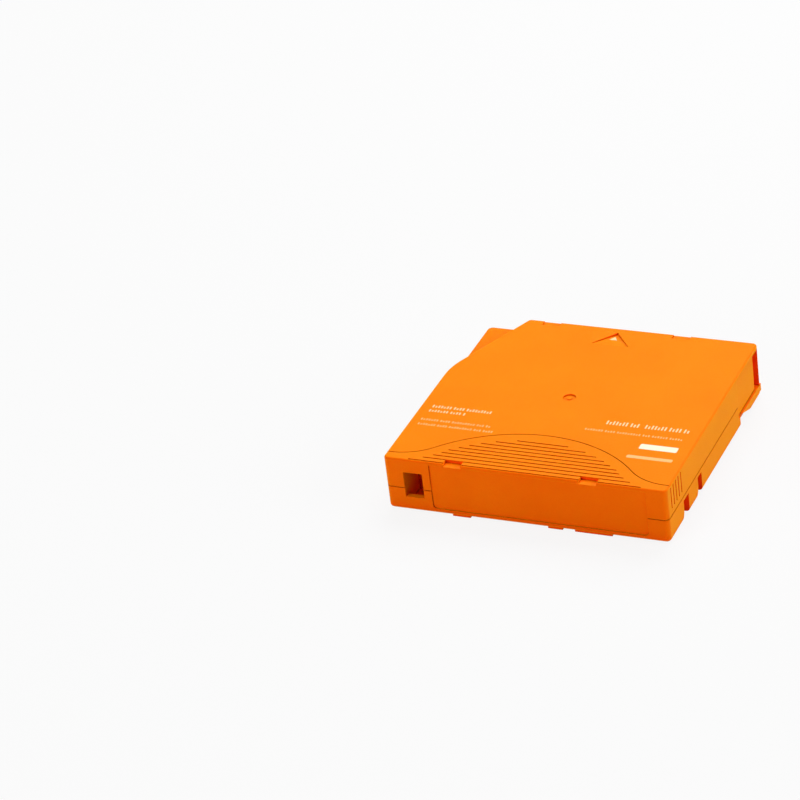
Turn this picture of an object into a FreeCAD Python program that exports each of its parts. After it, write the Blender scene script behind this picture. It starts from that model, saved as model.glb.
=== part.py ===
import FreeCAD, Part
import Sketcher
import math
import os
import re

# A half inch, single reel tape cleaning cartridge.
# X runs across the label face, the label face looks along -Y, the leading edge along +Y, Z is up.
# Every length is in millimetres.

SIZES = {
    # case
    "case_width": 105.4,
    "case_depth": 102.0,
    "foot_height": 0.4,
    "plate": 1.6,
    "wall": 2.0,
    "corner_radius": 1.8,
    "base_round": 1.4,
    "top_round": 0.7,
    "split_height": 9.8,
    "seam_width": 0.45,
    "seam_depth": 0.4,
    "seam_corner": 1.0,
    "spare": 1.0,
    "sunk": 0.1,
    "mould_gap": 0.1,
    # reel and its place in the case
    "reel_x": -1.6,
    "reel_y": 0.8,
    "reel_gap": 0.9,
    "reel_under": 1.0,
    "flange": 1.1,
    "slot_width": 13.1,
    "reel_over": 1.6,
    "hub_radius": 22.0,
    "hub_wall": 3.0,
    "hub_floor": 2.2,
    "weld_step": 1.5,
    "weld_height": 0.8,
    "gear_outer": 18.0,
    "gear_inner": 14.6,
    "gear_body": 1.1,
    "gear_tooth": 0.9,
    "gear_teeth": 60,
    "opening_gap": 0.6,
    "rim_width": 1.6,
    "rim_gap": 0.3,
    "brake_outer": 15.0,
    "brake_inner": 11.5,
    "brake_tooth": 1.1,
    "brake_teeth": 36,
    "tooth_share": 0.25,
    "tooth_taper": 12.0,
    "fit_gap": 0.1,
    # brake, its spring and its release plate
    "brake_disc": 1.8,
    "brake_radius": 16.6,
    "brake_lift": 1.6,
    "key_play": 0.4,
    "socket_floor": 0.6,
    "boss_radius": 6.4,
    "boss_height": 6.6,
    "key_length": 8.0,
    "key_width": 2.4,
    "key_gap": 0.25,
    "nub_radius": 2.6,
    "nub_round": 1.1,
    "coil_radius": 8.6,
    "coil_wire": 0.42,
    "coil_turns": 4.0,
    "ring_gap": 0.3,
    "ring_wall": 1.0,
    "ring_height": 1.0,
    "release_plate": 1.0,
    "release_disc": 5.0,
    "release_arm": 4.0,
    "leg_circle": 16.3,
    "leg_radius": 1.45,
    "leg_gap": 0.25,
    "chuck_plate": 1.0,
    "chuck_hole": 3.2,
    "chuck_port": 1.5,
    # tape
    "tape_width": 12.65,
    "tape_radius": 37.4,
    "tape_strip": 0.12,
    "run_gap": 0.3,
    "wrap_gap": 0.05,
    # leader pin, clip and spring
    "pin_inset_x": 8.4,
    "pin_inset_y": 12.2,
    "pin_radius": 1.3,
    "pin_collar": 2.5,
    "pin_end": 1.6,
    "pin_end_gap": 0.15,
    "pin_slack": 0.02,
    "collar_width": 0.7,
    "clip_wall": 0.7,
    "clip_short": 0.6,
    "clip_mouth": 2.4,
    "seat_block": 6.4,
    "seat_height": 0.9,
    "seat_gap": 0.2,
    "leaf": 0.3,
    "leaf_width": 1.0,
    "leaf_back": 9.0,
    "leaf_root": 3.2,
    "leaf_bend": 2.5,
    "leaf_touch": 0.8,
    "leaf_fold": 0.15,
    "leaf_ease": 0.12,
    "leaf_tip": 2.5,
    "leaf_curl": 0.6,
    "leaf_slant": 0.2,
    "leaf_rib": 1.0,
    "leaf_rib_near": 3.6,
    "leaf_rib_far": 5.5,
    "leaf_rib_depth": 2.0,
    # access door
    "door_back": 76.5,
    "door_lap": 2.6,
    "door_end": 4.0,
    "door_skin": 0.6,
    "door_depth": 1.9,
    "door_gap": 0.1,
    "door_foot": 2.2,
    "door_travel": 16.6,
    "door_round": 1.5,
    "door_edge": 0.4,
    "sill": 2.6,
    "corner_block": 2.6,
    "corner_rise": 4.6,
    "wedge_start": 78.0,
    "wedge_run": 14.0,
    "wedge_top": 5.4,
    "lead_wall": 1.6,
    "post_wall": 1.3,
    "rail": 0.8,
    "rail_height": 2.0,
    "rail_front": 68.0,
    "rod_radius": 0.6,
    "rod_length": 10.0,
    "door_coil": 1.15,
    "door_wire": 0.2,
    "door_turns": 11.0,
    "door_spring_length": 34.0,
    # label face
    "label_left": 17.2,
    "label_right": 7.6,
    "label_foot": 2.3,
    "label_top": 1.3,
    "label_recess": 0.4,
    "label_round": 1.6,
    "window_left": 7.1,
    "window_width": 7.2,
    "window_foot": 6.0,
    "window_height": 10.1,
    # write protect slider
    "slider_length": 8.4,
    "slider_depth": 1.6,
    "slider_nub": 0.5,
    "slider_reach": 1.0,
    "slider_gap": 0.2,
    "slider_shown": 0.6,
    "slider_wall": 1.0,
    "slider_margin": 0.4,
    "well_depth": 8.0,
    # insertion guide at the leading left corner
    "guide_start": 16.7,
    "guide_back": 38.5,
    "guide_blend": 28.0,
    "guide_depth": 5.4,
    # top face
    "notch_left": 22.7,
    "notch_right": 73.3,
    "notch_width": 6.8,
    "notch_run": 3.1,
    "notch_depth": 1.2,
    "notch_lead": 0.6,
    "gate_radius": 2.4,
    "gate_depth": 0.5,
    "gate_stub": 0.9,
    "arrow_tip": 3.2,
    "arrow_length": 8.9,
    "arrow_half": 7.2,
    "arrow_depth": 0.6,
    "arrow_step": 0.2,
    "groove_width": 0.36,
    "groove_depth": 0.3,
    "bell_crest": 51.0,
    "bell_tail": 20.0,
    "bell_rise": 21.6,
    "bell_foot": 4.0,
    "bell_margin": 4.4,
    "row_first": 0.85,
    "row_pitch": 2.15,
    "row_width": 0.5,
    # sides
    "side_first": 4.4,
    "side_pitch": 2.6,
    "side_width": 0.6,
    "side_depth": 0.4,
    "side_foot": 12.0,
    "side_top": 1.1,
    "pick_near": 15.6,
    "pick_near_width": 5.2,
    "pick_far": 30.7,
    "pick_far_width": 4.0,
    "pick_height": 8.0,
    "pick_depth": 3.2,
    "pick_wall": 1.2,
    "pick_flare": 4.2,
    # underside
    "foot_reach": 2.6,
    "foot_inset": 0.4,
    "foot_a": 24.3,
    "foot_a_width": 6.7,
    "foot_b": 60.2,
    "foot_b_width": 5.4,
    "foot_c": 70.2,
    "foot_c_width": 13.8,
    "foot_d": 26.0,
    "foot_d_width": 14.0,
    "foot_e": 64.0,
    "foot_e_width": 12.0,
    "locate_radius": 2.8,
    "locate_depth": 4.6,
    "locate_wall": 1.2,
    "locate_inset": 6.2,
    "locate_left": 19.0,
    "locate_right": 25.0,
    "locate_slot": 1.2,
    # screws
    "screw_inset_x": 7.4,
    "screw_window_x": 4.2,
    "screw_window_y": 8.6,
    "screw_inset_y": 9.4,
    "screw_lead_x": 15.5,
    "screw_lead_y": 6.4,
    "screw_boss": 2.7,
    "screw_radius": 1.0,
    "screw_head": 1.8,
    "screw_head_height": 1.1,
    "screw_bite": 4.0,
    "screw_recess": 0.6,
    "cross_length": 2.3,
    "cross_width": 0.55,
    "cross_depth": 0.65,
    "sink_gap": 0.2,
    "pilot_spare": 0.3,
    # memory board
    "board_right": 12.0,
    "board_length": 19.0,
    "board_width": 9.4,
    "board_thick": 0.8,
    "board_rear": 2.0,
    "board_lift": 0.7,
    "chip_length": 6.0,
    "chip_width": 5.0,
    "chip_height": 0.7,
    "stand_width": 1.4,
    "stand_inset": 1.0,
}

# Heights, each a sum of the sizes above.
BASE = "foot_height"
FLOOR = "(foot_height + plate)"
REEL = "(foot_height + plate + reel_under)"
SLOT = "(foot_height + plate + reel_under + flange)"
UPPER = "(foot_height + plate + reel_under + flange + slot_width)"
CEILING = "(foot_height + plate + reel_under + 2 * flange + slot_width + reel_over)"
TOP = "(foot_height + 2 * plate + reel_under + 2 * flange + slot_width + reel_over)"
SPLIT = "split_height"
LEDGE = f"({TOP} - guide_depth)"
HUB_FLOOR = f"({REEL} + hub_floor)"
GEAR_TIP = f"({REEL} - gear_body - gear_tooth)"
BRAKE = f"({HUB_FLOOR} + brake_tooth + fit_gap)"
BRAKE_TOP = f"({BRAKE} + brake_disc)"
SOCKET = f"({BRAKE_TOP} + socket_floor)"
TAPE_LOW = f"({SLOT} + (slot_width - tape_width) / 2)"
TAPE_HIGH = f"({TAPE_LOW} + tape_width)"
SCREW_SEAT = "(foot_height + screw_recess + screw_head_height)"

# Outer faces, seen from above, and the places tied to them.
RIGHT = "case_width / 2"
LEFT = "-case_width / 2"
LEADING = "case_depth / 2"
LABEL = "-case_depth / 2"
IN_RIGHT = "(case_width / 2 - wall)"
IN_LEFT = "(wall - case_width / 2)"
IN_LEADING = "(case_depth / 2 - wall)"
IN_LABEL = "(wall - case_depth / 2)"
FLANGE = ("min(case_depth / 2 - wall - reel_y - reel_gap; "
          "case_width / 2 - wall + reel_x - reel_gap)")
PIN_X = "(case_width / 2 - pin_inset_x)"
PIN_Y = "(case_depth / 2 - pin_inset_y)"
DOOR_OUT = "(case_width / 2 - door_skin - door_gap)"
DOOR_IN = "(case_width / 2 - door_skin - door_gap - door_depth)"
DOOR_MOUTH = "(door_back - case_depth / 2)"
DOOR_REAR = "(door_back - door_lap - case_depth / 2)"
DOOR_FRONT = "(case_depth / 2 - door_end)"
POST = "(case_width / 2 - door_skin - 2 * door_gap - door_depth)"
COIL_X = "(case_width / 2 - door_skin - door_gap - door_coil - door_wire)"
COIL_Z = f"(({FLOOR} + {CEILING}) / 2)"
LABEL_X0 = "(label_left - case_width / 2)"
LABEL_X1 = "(case_width / 2 - label_right)"
WINDOW_X0 = "(window_left - case_width / 2)"
WINDOW_X1 = "(window_left + window_width - case_width / 2)"
WINDOW_TOP = "(window_foot + window_height)"
SLIDER_X0 = "(window_left + window_width - slider_shown - case_width / 2)"

doc = FreeCAD.newDocument("cartridge")
sheet = doc.addObject("Spreadsheet::Sheet", "Sizes")
for row, (alias, number) in enumerate(SIZES.items(), start=1):
    sheet.set(f"A{row}", alias)
    sheet.set(f"B{row}", str(number))
    sheet.setAlias(f"B{row}", alias)
doc.recompute()


def bound(text):
    """Name the sheet in front of every size used in an expression."""
    return re.sub(r"[A-Za-z_]\w*", lambda m: "Sizes." + m[0] if m[0] in SIZES else m[0], text)


def size(text):
    """Work out an expression as a number."""
    return float(sheet.evalExpression(bound(text)))


def drive(thing, prop, text):
    thing.setExpression(prop, bound(text))


def new_body(name, x="0", y="0"):
    body = doc.addObject("PartDesign::Body", name)
    body.Label = name
    drive(body, "Placement.Base.x", x)
    drive(body, "Placement.Base.y", y)
    return body


def new_sketch(body, name, height="0", role="XY_Plane"):
    sketch = body.newObject("Sketcher::SketchObject", name)
    plane = [item for item in body.Origin.OriginFeatures if item.Role == role][0]
    sketch.AttachmentSupport = (plane, [""])
    sketch.MapMode = "FlatFace"
    drive(sketch, "AttachmentOffset.Base.z", height)
    return sketch


def pin_down(sketch, wanted):
    """Add constraints, each tied to its expression."""
    for constraint, text in wanted:
        index = sketch.addConstraint(constraint)
        if text:
            sketch.setExpression(f"Constraints[{index}]", bound(text))


def polygon(sketch, corners):
    """A closed outline whose corners are all tied to the sheet."""
    spots = [FreeCAD.Vector(size(x), size(y), 0) for x, y in corners]
    count = len(spots)
    lines = [Part.LineSegment(spots[k], spots[(k + 1) % count]) for k in range(count)]
    first = sketch.GeometryCount
    sketch.addGeometry(lines, False)
    wanted = []
    for k, (x, y) in enumerate(corners):
        wanted.append((Sketcher.Constraint("Coincident", first + k, 2, first + (k + 1) % count, 1), ""))
        wanted.append((Sketcher.Constraint("DistanceX", -1, 1, first + k, 1, spots[k].x), x))
        wanted.append((Sketcher.Constraint("DistanceY", -1, 1, first + k, 1, spots[k].y), y))
    pin_down(sketch, wanted)


def rectangle(sketch, x0, x1, y0, y1):
    polygon(sketch, [(x0, y0), (x1, y0), (x1, y1), (x0, y1)])


def circle(sketch, x, y, radius):
    spot = FreeCAD.Vector(size(x), size(y), 0)
    index = sketch.addGeometry(Part.Circle(spot, FreeCAD.Vector(0, 0, 1), size(radius)), False)
    pin_down(sketch, [
        (Sketcher.Constraint("DistanceX", -1, 1, index, 3, spot.x), x),
        (Sketcher.Constraint("DistanceY", -1, 1, index, 3, spot.y), y),
        (Sketcher.Constraint("Radius", index, size(radius)), radius),
    ])


def pad(body, sketch, length, flip=False, taper=None):
    feature = body.newObject("PartDesign::Pad", sketch.Name + "_pad")
    feature.Profile = sketch
    feature.Reversed = flip
    drive(feature, "Length", length)
    if taper:
        drive(feature, "TaperAngle", "-" + taper)
    return feature


def pocket(body, sketch, length, flip=False):
    feature = body.newObject("PartDesign::Pocket", sketch.Name + "_cut")
    feature.Profile = sketch
    feature.Reversed = flip
    drive(feature, "Length", length)
    return feature


def add_boxes(body, name, boxes, low, high):
    sketch = new_sketch(body, name, low)
    for box in boxes:
        rectangle(sketch, *box)
    return pad(body, sketch, f"{high} - {low}")


def cut_boxes(body, name, boxes, low, high):
    sketch = new_sketch(body, name, high)
    for box in boxes:
        rectangle(sketch, *box)
    return pocket(body, sketch, f"{high} - {low}")


def add_rounds(body, name, rounds, low, high):
    sketch = new_sketch(body, name, low)
    for item in rounds:
        circle(sketch, *item)
    return pad(body, sketch, f"{high} - {low}")


def cut_rounds(body, name, rounds, low, high):
    sketch = new_sketch(body, name, high)
    for item in rounds:
        circle(sketch, *item)
    return pocket(body, sketch, f"{high} - {low}")


def dress(body, kind, prop, text, wanted):
    """Round or bevel the edges of the newest feature that the test picks."""
    doc.recompute()
    base = body.Tip
    names = [f"Edge{k}" for k, edge in enumerate(base.Shape.Edges, start=1) if wanted(edge)]
    if not names:
        raise RuntimeError(f"{body.Label}: no edge for {kind} {text}")
    feature = body.newObject("PartDesign::" + kind, f"{body.Label}_{kind.lower()}")
    feature.Base = (base, names)
    drive(feature, prop, text)
    doc.recompute()
    return feature


def upright(edge):
    return edge.BoundBox.XLength < 1e-4 and edge.BoundBox.YLength < 1e-4


def at_height(edge, z):
    return edge.BoundBox.ZLength < 1e-4 and abs(edge.BoundBox.ZMin - z) < 1e-4


def apron_corner(edge, foot, gap):
    """The short edges along Y at the two lower corners of the label panel."""
    box = edge.BoundBox
    if box.XLength > 1e-4 or box.ZLength > 1e-4 or abs(box.ZMin - size(foot)) > 1e-4:
        return False
    ends = (size(f"{LABEL_X0} + {gap}"), size(f"{LABEL_X1} - {gap}"))
    return box.YMax < size(IN_LABEL) + 1e-4 and min(abs(box.XMin - end) for end in ends) < 1e-4


def revolve(body, sketch):
    feature = body.newObject("PartDesign::Revolution", sketch.Name + "_turn")
    feature.Profile = sketch
    feature.ReferenceAxis = (sketch, ["V_Axis"])
    feature.Angle = 360.0
    return feature


def around(body, feature, count, angle="360"):
    """Repeat a feature about the body's own Z axis."""
    doc.recompute()
    axis = [item for item in body.Origin.OriginFeatures if item.Role == "Z_Axis"][0]
    pattern = body.newObject("PartDesign::PolarPattern", feature.Name + "_ring")
    pattern.Originals = [feature]
    pattern.Axis = (axis, [""])
    drive(pattern, "Angle", angle)
    drive(pattern, "Occurrences", count)
    body.Tip = pattern
    return pattern


def shell_outline(body, name, low, high):
    """The outer block of a case half, with its upright corners rounded."""
    add_boxes(body, name, [(LEFT, RIGHT, LABEL, LEADING)], low, high)
    dress(body, "Fillet", "Radius", "corner_radius", upright)


def seam_groove(body):
    """A narrow step round the top of the lower half, which shows as a dark line at the seam."""
    groove = new_sketch(body, "seam_groove", SPLIT)
    rectangle(groove, f"({LEFT} - spare)", f"({RIGHT} + spare)", f"({LABEL} - spare)", f"({LEADING} + spare)")
    left = f"({LEFT} + seam_depth)"
    right = f"({RIGHT} - seam_depth)"
    rear = f"({LABEL} + seam_depth)"
    front = f"({LEADING} - seam_depth)"
    polygon(groove, [
        (f"({left} + seam_corner)", rear), (f"({right} - seam_corner)", rear),
        (right, f"({rear} + seam_corner)"), (right, f"({front} - seam_corner)"),
        (f"({right} - seam_corner)", front), (f"({left} + seam_corner)", front),
        (left, f"({front} - seam_corner)"), (left, f"({rear} + seam_corner)"),
    ])
    pocket(body, groove, "seam_width")


def screw_spots():
    """Screw centres: label left, label right, leading left, leading right."""
    return [
        ("(screw_window_x - case_width / 2)", "(screw_window_y - case_depth / 2)"),
        ("(case_width / 2 - screw_inset_x)", "(screw_inset_y - case_depth / 2)"),
        ("(screw_inset_x - case_width / 2)", "(case_depth / 2 - screw_inset_y)"),
        ("(case_width / 2 - screw_lead_x)", "(case_depth / 2 - screw_lead_y)"),
    ]


def pick_outline(sketch, near, width):
    """Side view of a picker notch: open below, its label side corner led in by a round."""
    low = f"({near} - case_depth / 2)"
    high = f"({near} + {width} - case_depth / 2)"
    top = "pick_height"
    below = f"({BASE} - spare)"
    bend = f"({BASE} + pick_flare)"
    out = f"({near} - pick_flare - case_depth / 2)"
    spots = [
        (low, top), (low, bend), (out, BASE), (out, below), (high, below), (high, top),
    ]
    vectors = [FreeCAD.Vector(size(x), size(y), 0) for x, y in spots]
    middle = FreeCAD.Vector(size(out), size(bend), 0)
    ring = Part.Circle(middle, FreeCAD.Vector(0, 0, 1), size("pick_flare"))
    first = sketch.GeometryCount
    sketch.addGeometry([
        Part.LineSegment(vectors[0], vectors[1]),
        Part.ArcOfCircle(ring, -math.pi / 2, 0),
        Part.LineSegment(vectors[2], vectors[3]),
        Part.LineSegment(vectors[3], vectors[4]),
        Part.LineSegment(vectors[4], vectors[5]),
        Part.LineSegment(vectors[5], vectors[0]),
    ], False)
    pin_down(sketch, [
        (Sketcher.Constraint("DistanceX", -1, 1, first + 1, 3, middle.x), out),
        (Sketcher.Constraint("DistanceY", -1, 1, first + 1, 3, middle.y), bend),
        (Sketcher.Constraint("Radius", first + 1, size("pick_flare")), "pick_flare"),
        (Sketcher.Constraint("Coincident", first, 2, first + 1, 2), ""),
        (Sketcher.Constraint("DistanceY", -1, 1, first, 2, vectors[1].y), bend),
        (Sketcher.Constraint("Coincident", first + 1, 1, first + 2, 1), ""),
        (Sketcher.Constraint("DistanceX", -1, 1, first + 2, 1, vectors[2].x), out),
        (Sketcher.Constraint("Coincident", first + 2, 2, first + 3, 1), ""),
        (Sketcher.Constraint("Vertical", first + 2), ""),
        (Sketcher.Constraint("DistanceY", -1, 1, first + 3, 1, vectors[3].y), below),
        (Sketcher.Constraint("Coincident", first + 3, 2, first + 4, 1), ""),
        (Sketcher.Constraint("Horizontal", first + 3), ""),
        (Sketcher.Constraint("DistanceX", -1, 1, first + 4, 1, vectors[4].x), high),
        (Sketcher.Constraint("Coincident", first + 4, 2, first + 5, 1), ""),
        (Sketcher.Constraint("Vertical", first + 4), ""),
        (Sketcher.Constraint("DistanceY", -1, 1, first + 5, 1, vectors[5].y), top),
        (Sketcher.Constraint("Coincident", first + 5, 2, first, 1), ""),
        (Sketcher.Constraint("Horizontal", first + 5), ""),
        (Sketcher.Constraint("Vertical", first), ""),
    ])


def door_frame(body, name, low, high, rail_low, rail_high):
    """The wall pocket, the mouth, the corner post and the inner rail that the door runs in."""
    cut_boxes(body, name + "_pocket", [
        (POST, "(case_width / 2 - door_skin)",
         f"({DOOR_REAR} - door_spring_length)", DOOR_MOUTH),
    ], low, high)
    cut_boxes(body, name + "_mouth", [
        (POST, f"({RIGHT} + spare)", DOOR_MOUTH, f"({LEADING} - lead_wall)"),
    ], low, high)
    post = ("(" + POST + " - post_wall)", POST, DOOR_FRONT, LEADING)
    add_boxes(body, name + "_post", [post], low, high)
    rail = ("(" + POST + " - rail)", POST, f"({DOOR_REAR} - door_travel)", "(rail_front - case_depth / 2)")
    add_boxes(body, name + "_rail", [rail], rail_low, rail_high)


def slider_track(body, name, low, high):
    """One bent wall: round the dark well behind the window, then on behind the slider."""
    back = f"({IN_LABEL} + slider_depth + 2 * slider_gap)"
    deep = f"({back} + well_depth)"
    outer = f"({WINDOW_X0} - slider_wall)"
    inner = f"({WINDOW_X1} + slider_wall)"
    end = f"({SLIDER_X0} + slider_length + slider_wall)"
    wall = new_sketch(body, name, low)
    polygon(wall, [
        (outer, f"({IN_LABEL} - sunk)"), (WINDOW_X0, f"({IN_LABEL} - sunk)"),
        (WINDOW_X0, deep), (WINDOW_X1, deep), (WINDOW_X1, back), (end, back),
        (end, f"({back} + slider_wall)"), (inner, f"({back} + slider_wall)"),
        (inner, f"({deep} + slider_wall)"), (outer, f"({deep} + slider_wall)"),
    ])
    pad(body, wall, f"{high} - {low}")


def pin_seat(body, name, low, high):
    """A block with a cup for one end of the leader pin, open towards the door."""
    add_boxes(body, name, [
        (f"({PIN_X} - seat_block / 2)", f"({PIN_X} + seat_block / 2)",
         f"({PIN_Y} - seat_block / 2)", f"({PIN_Y} + seat_block / 2)"),
    ], low, high)
    cut_rounds(body, name + "_cup", [(PIN_X, PIN_Y, "(pin_end + seat_gap)")], low, high)
    cut_boxes(body, name + "_exit", [
        (PIN_X, f"({PIN_X} + seat_block)",
         f"({PIN_Y} - pin_end - seat_gap)", f"({PIN_Y} + pin_end + seat_gap)"),
    ], low, high)


# Lower half of the case.

lower = new_body("lower_shell")
shell_outline(lower, "lower_block", BASE, SPLIT)
base_level = size(BASE)
dress(lower, "Fillet", "Radius", "base_round", lambda edge: at_height(edge, base_level))
seam_groove(lower)
cut_boxes(lower, "lower_cavity", [(IN_LEFT, IN_RIGHT, IN_LABEL, IN_LEADING)], FLOOR, SPLIT)

# The label apron of the upper half drops into this gap of the label wall.
cut_boxes(lower, "apron_gap", [
    (LABEL_X0, LABEL_X1, f"({LABEL} - spare)", IN_LABEL),
], "label_foot", SPLIT)
dress(lower, "Fillet", "Radius", "label_round", lambda edge: apron_corner(edge, "label_foot", "0"))
cut_boxes(lower, "window_lower", [
    (WINDOW_X0, WINDOW_X1, f"({LABEL} - spare)", f"({IN_LABEL} + sunk)"),
], "window_foot", SPLIT)

# Round mouth for the drive gear, with a raised rim that the reel lies on.
add_rounds(lower, "reel_rim", [("reel_x", "reel_y", "(gear_outer + opening_gap + rim_width)")],
           FLOOR, f"({REEL} - rim_gap)")
cut_rounds(lower, "reel_mouth", [("reel_x", "reel_y", "(gear_outer + opening_gap)")],
           "0", REEL)

# Screw posts.
add_rounds(lower, "screw_posts", [(x, y, "screw_boss") for x, y in screw_spots()], FLOOR, SPLIT)

# Locating hole and slot for the pins of the drive.
HOLE_X = "(locate_left - case_width / 2)"
HOLE_Y = "(case_depth / 2 - locate_inset)"
SLOT_X = "(case_width / 2 - locate_right)"
LOCATE_TOP = f"({BASE} + locate_depth + locate_wall)"
BOSS = "(locate_radius + locate_wall)"
SLOT_LEFT = f"({SLOT_X} - locate_slot)"
SLOT_RIGHT = f"({SLOT_X} + locate_slot)"
add_rounds(lower, "locate_boss", [(HOLE_X, HOLE_Y, BOSS)], FLOOR, LOCATE_TOP)
add_rounds(lower, "slot_boss_left", [(SLOT_LEFT, HOLE_Y, BOSS)], FLOOR, LOCATE_TOP)
add_rounds(lower, "slot_boss_right", [(SLOT_RIGHT, HOLE_Y, BOSS)], FLOOR, LOCATE_TOP)
add_boxes(lower, "slot_boss_middle", [
    (SLOT_LEFT, SLOT_RIGHT, f"({HOLE_Y} - {BOSS})", f"({HOLE_Y} + {BOSS})"),
], FLOOR, LOCATE_TOP)
cut_rounds(lower, "locate_hole", [(HOLE_X, HOLE_Y, "locate_radius")],
           "0", f"({BASE} + locate_depth)")
cut_rounds(lower, "locate_slot_left", [(SLOT_LEFT, HOLE_Y, "locate_radius")],
           "0", f"({BASE} + locate_depth)")
cut_rounds(lower, "locate_slot_right", [(SLOT_RIGHT, HOLE_Y, "locate_radius")],
           "0", f"({BASE} + locate_depth)")
cut_boxes(lower, "locate_slot_middle", [
    (SLOT_LEFT, SLOT_RIGHT, f"({HOLE_Y} - locate_radius)", f"({HOLE_Y} + locate_radius)"),
], "0", f"({BASE} + locate_depth)")

# Picker notches in both sides, each backed by a pocket wall.
for near, width in (("pick_near", "pick_near_width"), ("pick_far", "pick_far_width")):
    back = f"({near} - pick_flare - pick_wall - case_depth / 2)"
    front = f"({near} + {width} + pick_wall - case_depth / 2)"
    inner = "(case_width / 2 - pick_depth - pick_wall)"
    add_boxes(lower, near + "_wall", [
        (inner, IN_RIGHT, back, front),
        (IN_LEFT, f"(-{inner})", back, front),
    ], FLOOR, "(pick_height + pick_wall)")
    for side, role_height, flip in (("right", RIGHT, False), ("left", LEFT, True)):
        outline = new_sketch(lower, f"{near}_{side}", role_height, "YZ_Plane")
        pick_outline(outline, near, width)
        pocket(lower, outline, "pick_depth", flip)

# Door frame, with a raised sill that fills the leading corner and has a wedge cut into its lower edge.
door_frame(lower, "lower_door", "sill", SPLIT, FLOOR, f"({FLOOR} + rail_height)")
BLOCK_Y = f"({LEADING} - corner_block)"
RAISE_Z = f"({BASE} + base_round)"
raised = new_sketch(lower, "raised_sill", RAISE_Z)
polygon(raised, [
    (IN_RIGHT, DOOR_MOUTH), (RIGHT, DOOR_MOUTH), (RIGHT, LEADING),
    (POST, LEADING), (POST, BLOCK_Y), (IN_RIGHT, BLOCK_Y),
])
pad(lower, raised, f"corner_rise - {RAISE_Z}")
WEDGE_Y = f"({LABEL} + wedge_start)"
wedge = new_sketch(lower, "sill_wedge", RIGHT, "YZ_Plane")
polygon(wedge, [
    (WEDGE_Y, f"({BASE} - spare)"), (f"({WEDGE_Y} + wedge_run)", f"({BASE} - spare)"),
    (f"({WEDGE_Y} + wedge_run)", BASE), (WEDGE_Y, "wedge_top"),
])
pocket(lower, wedge, "wall + sunk")
add_boxes(lower, "spring_stop", [
    (f"({POST} - rail)", f"({IN_RIGHT} - mould_gap)",
     f"({DOOR_REAR} - door_spring_length - wall)", f"({DOOR_REAR} - door_spring_length)"),
], FLOOR, f"({COIL_Z} + door_coil)")

# Seat of the leader pin and the ribs that hold its spring.
pin_seat(lower, "lower_seat", FLOOR, f"({FLOOR} + seat_height)")
RIB_Y = (f"({IN_LEADING} - leaf_rib_depth)", f"({IN_LEADING} - 3 * leaf)")
add_boxes(lower, "leaf_ribs", [
    (f"({PIN_X} - leaf_rib_far - leaf_rib)", f"({PIN_X} - leaf_rib_far)") + RIB_Y,
    (f"({PIN_X} - leaf_rib_near - leaf_rib)", f"({PIN_X} - leaf_rib_near)") + RIB_Y,
], FLOOR, SPLIT)

slider_track(lower, "lower_track", FLOOR, SPLIT)

# Two stands that carry the tilted memory board.
BOARD_X1 = "(case_width / 2 - board_right)"
BOARD_X0 = "(case_width / 2 - board_right - board_length)"
BOARD_Y = f"({IN_LABEL} + board_rear)"
BOARD_Z = f"({FLOOR} + board_lift)"
STAND_LEFT = f"({BOARD_X0} + stand_inset)"
STAND_RIGHT = f"({BOARD_X1} - stand_inset - stand_width)"
for name, x0 in (("stand_left", STAND_LEFT), ("stand_right", STAND_RIGHT)):
    stand = new_sketch(lower, name, x0, "YZ_Plane")
    polygon(stand, [
        (BOARD_Y, f"({FLOOR} - sunk)"),
        (f"({BOARD_Y} + board_width * cos(45))", f"({FLOOR} - sunk)"),
        (f"({BOARD_Y} + board_width * cos(45))", f"({BOARD_Z} + board_width * sin(45))"),
        (BOARD_Y, BOARD_Z),
    ])
    pad(lower, stand, "stand_width")

# Screw holes, cut once every wall beside them stands.
cut_rounds(lower, "screw_bores", [(x, y, "(screw_radius + fit_gap)") for x, y in screw_spots()],
           "0", SPLIT)
cut_rounds(lower, "screw_sinks", [(x, y, "(screw_head + sink_gap)") for x, y in screw_spots()],
           "0", SCREW_SEAT)

# Low feet along the label edge and the leading edge.
FOOT_LABEL = (f"({LABEL} + foot_inset)", f"({LABEL} + foot_inset + foot_reach)")
FOOT_LEAD = (f"({LEADING} - foot_inset - foot_reach)", f"({LEADING} - foot_inset)")
FEET = [("foot_a", FOOT_LABEL), ("foot_b", FOOT_LABEL), ("foot_c", FOOT_LABEL),
        ("foot_d", FOOT_LEAD), ("foot_e", FOOT_LEAD)]
add_boxes(lower, "feet", [
    (f"({LEFT} + {foot})", f"({LEFT} + {foot} + {foot}_width)") + along for foot, along in FEET
], "0", f"({BASE} + plate / 2)")
doc.recompute()


# Upper half of the case.

upper = new_body("upper_shell")
shell_outline(upper, "upper_block", SPLIT, TOP)

# The insertion guide: a slanting step at the leading left corner.
SLANT = "(guide_start / guide_back)"
guide = new_sketch(upper, "guide_step", TOP)
polygon(guide, [
    (f"({LEFT} - 3 * {SLANT})", f"({LEADING} - guide_back - 3)"),
    (f"({LEFT} + guide_start + 3 * {SLANT})", f"({LEADING} + 3)"),
    (f"({LEFT} - 5)", f"({LEADING} + 3)"),
    (f"({LEFT} - 5)", f"({LEADING} - guide_back - 3)"),
])
pocket(upper, guide, "guide_depth")
blend_y = size(f"{LEADING} - guide_back")
blend_x = size(f"{LEFT} + guide_start")
dress(upper, "Fillet", "Radius", "guide_blend",
      lambda edge: upright(edge) and abs(edge.BoundBox.YMin - blend_y) < 1e-3)
dress(upper, "Fillet", "Radius", "corner_radius",
      lambda edge: upright(edge) and abs(edge.BoundBox.XMin - blend_x) < 1e-3)
top_level = size(TOP)
dress(upper, "Fillet", "Radius", "top_round", lambda edge: at_height(edge, top_level))

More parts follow.
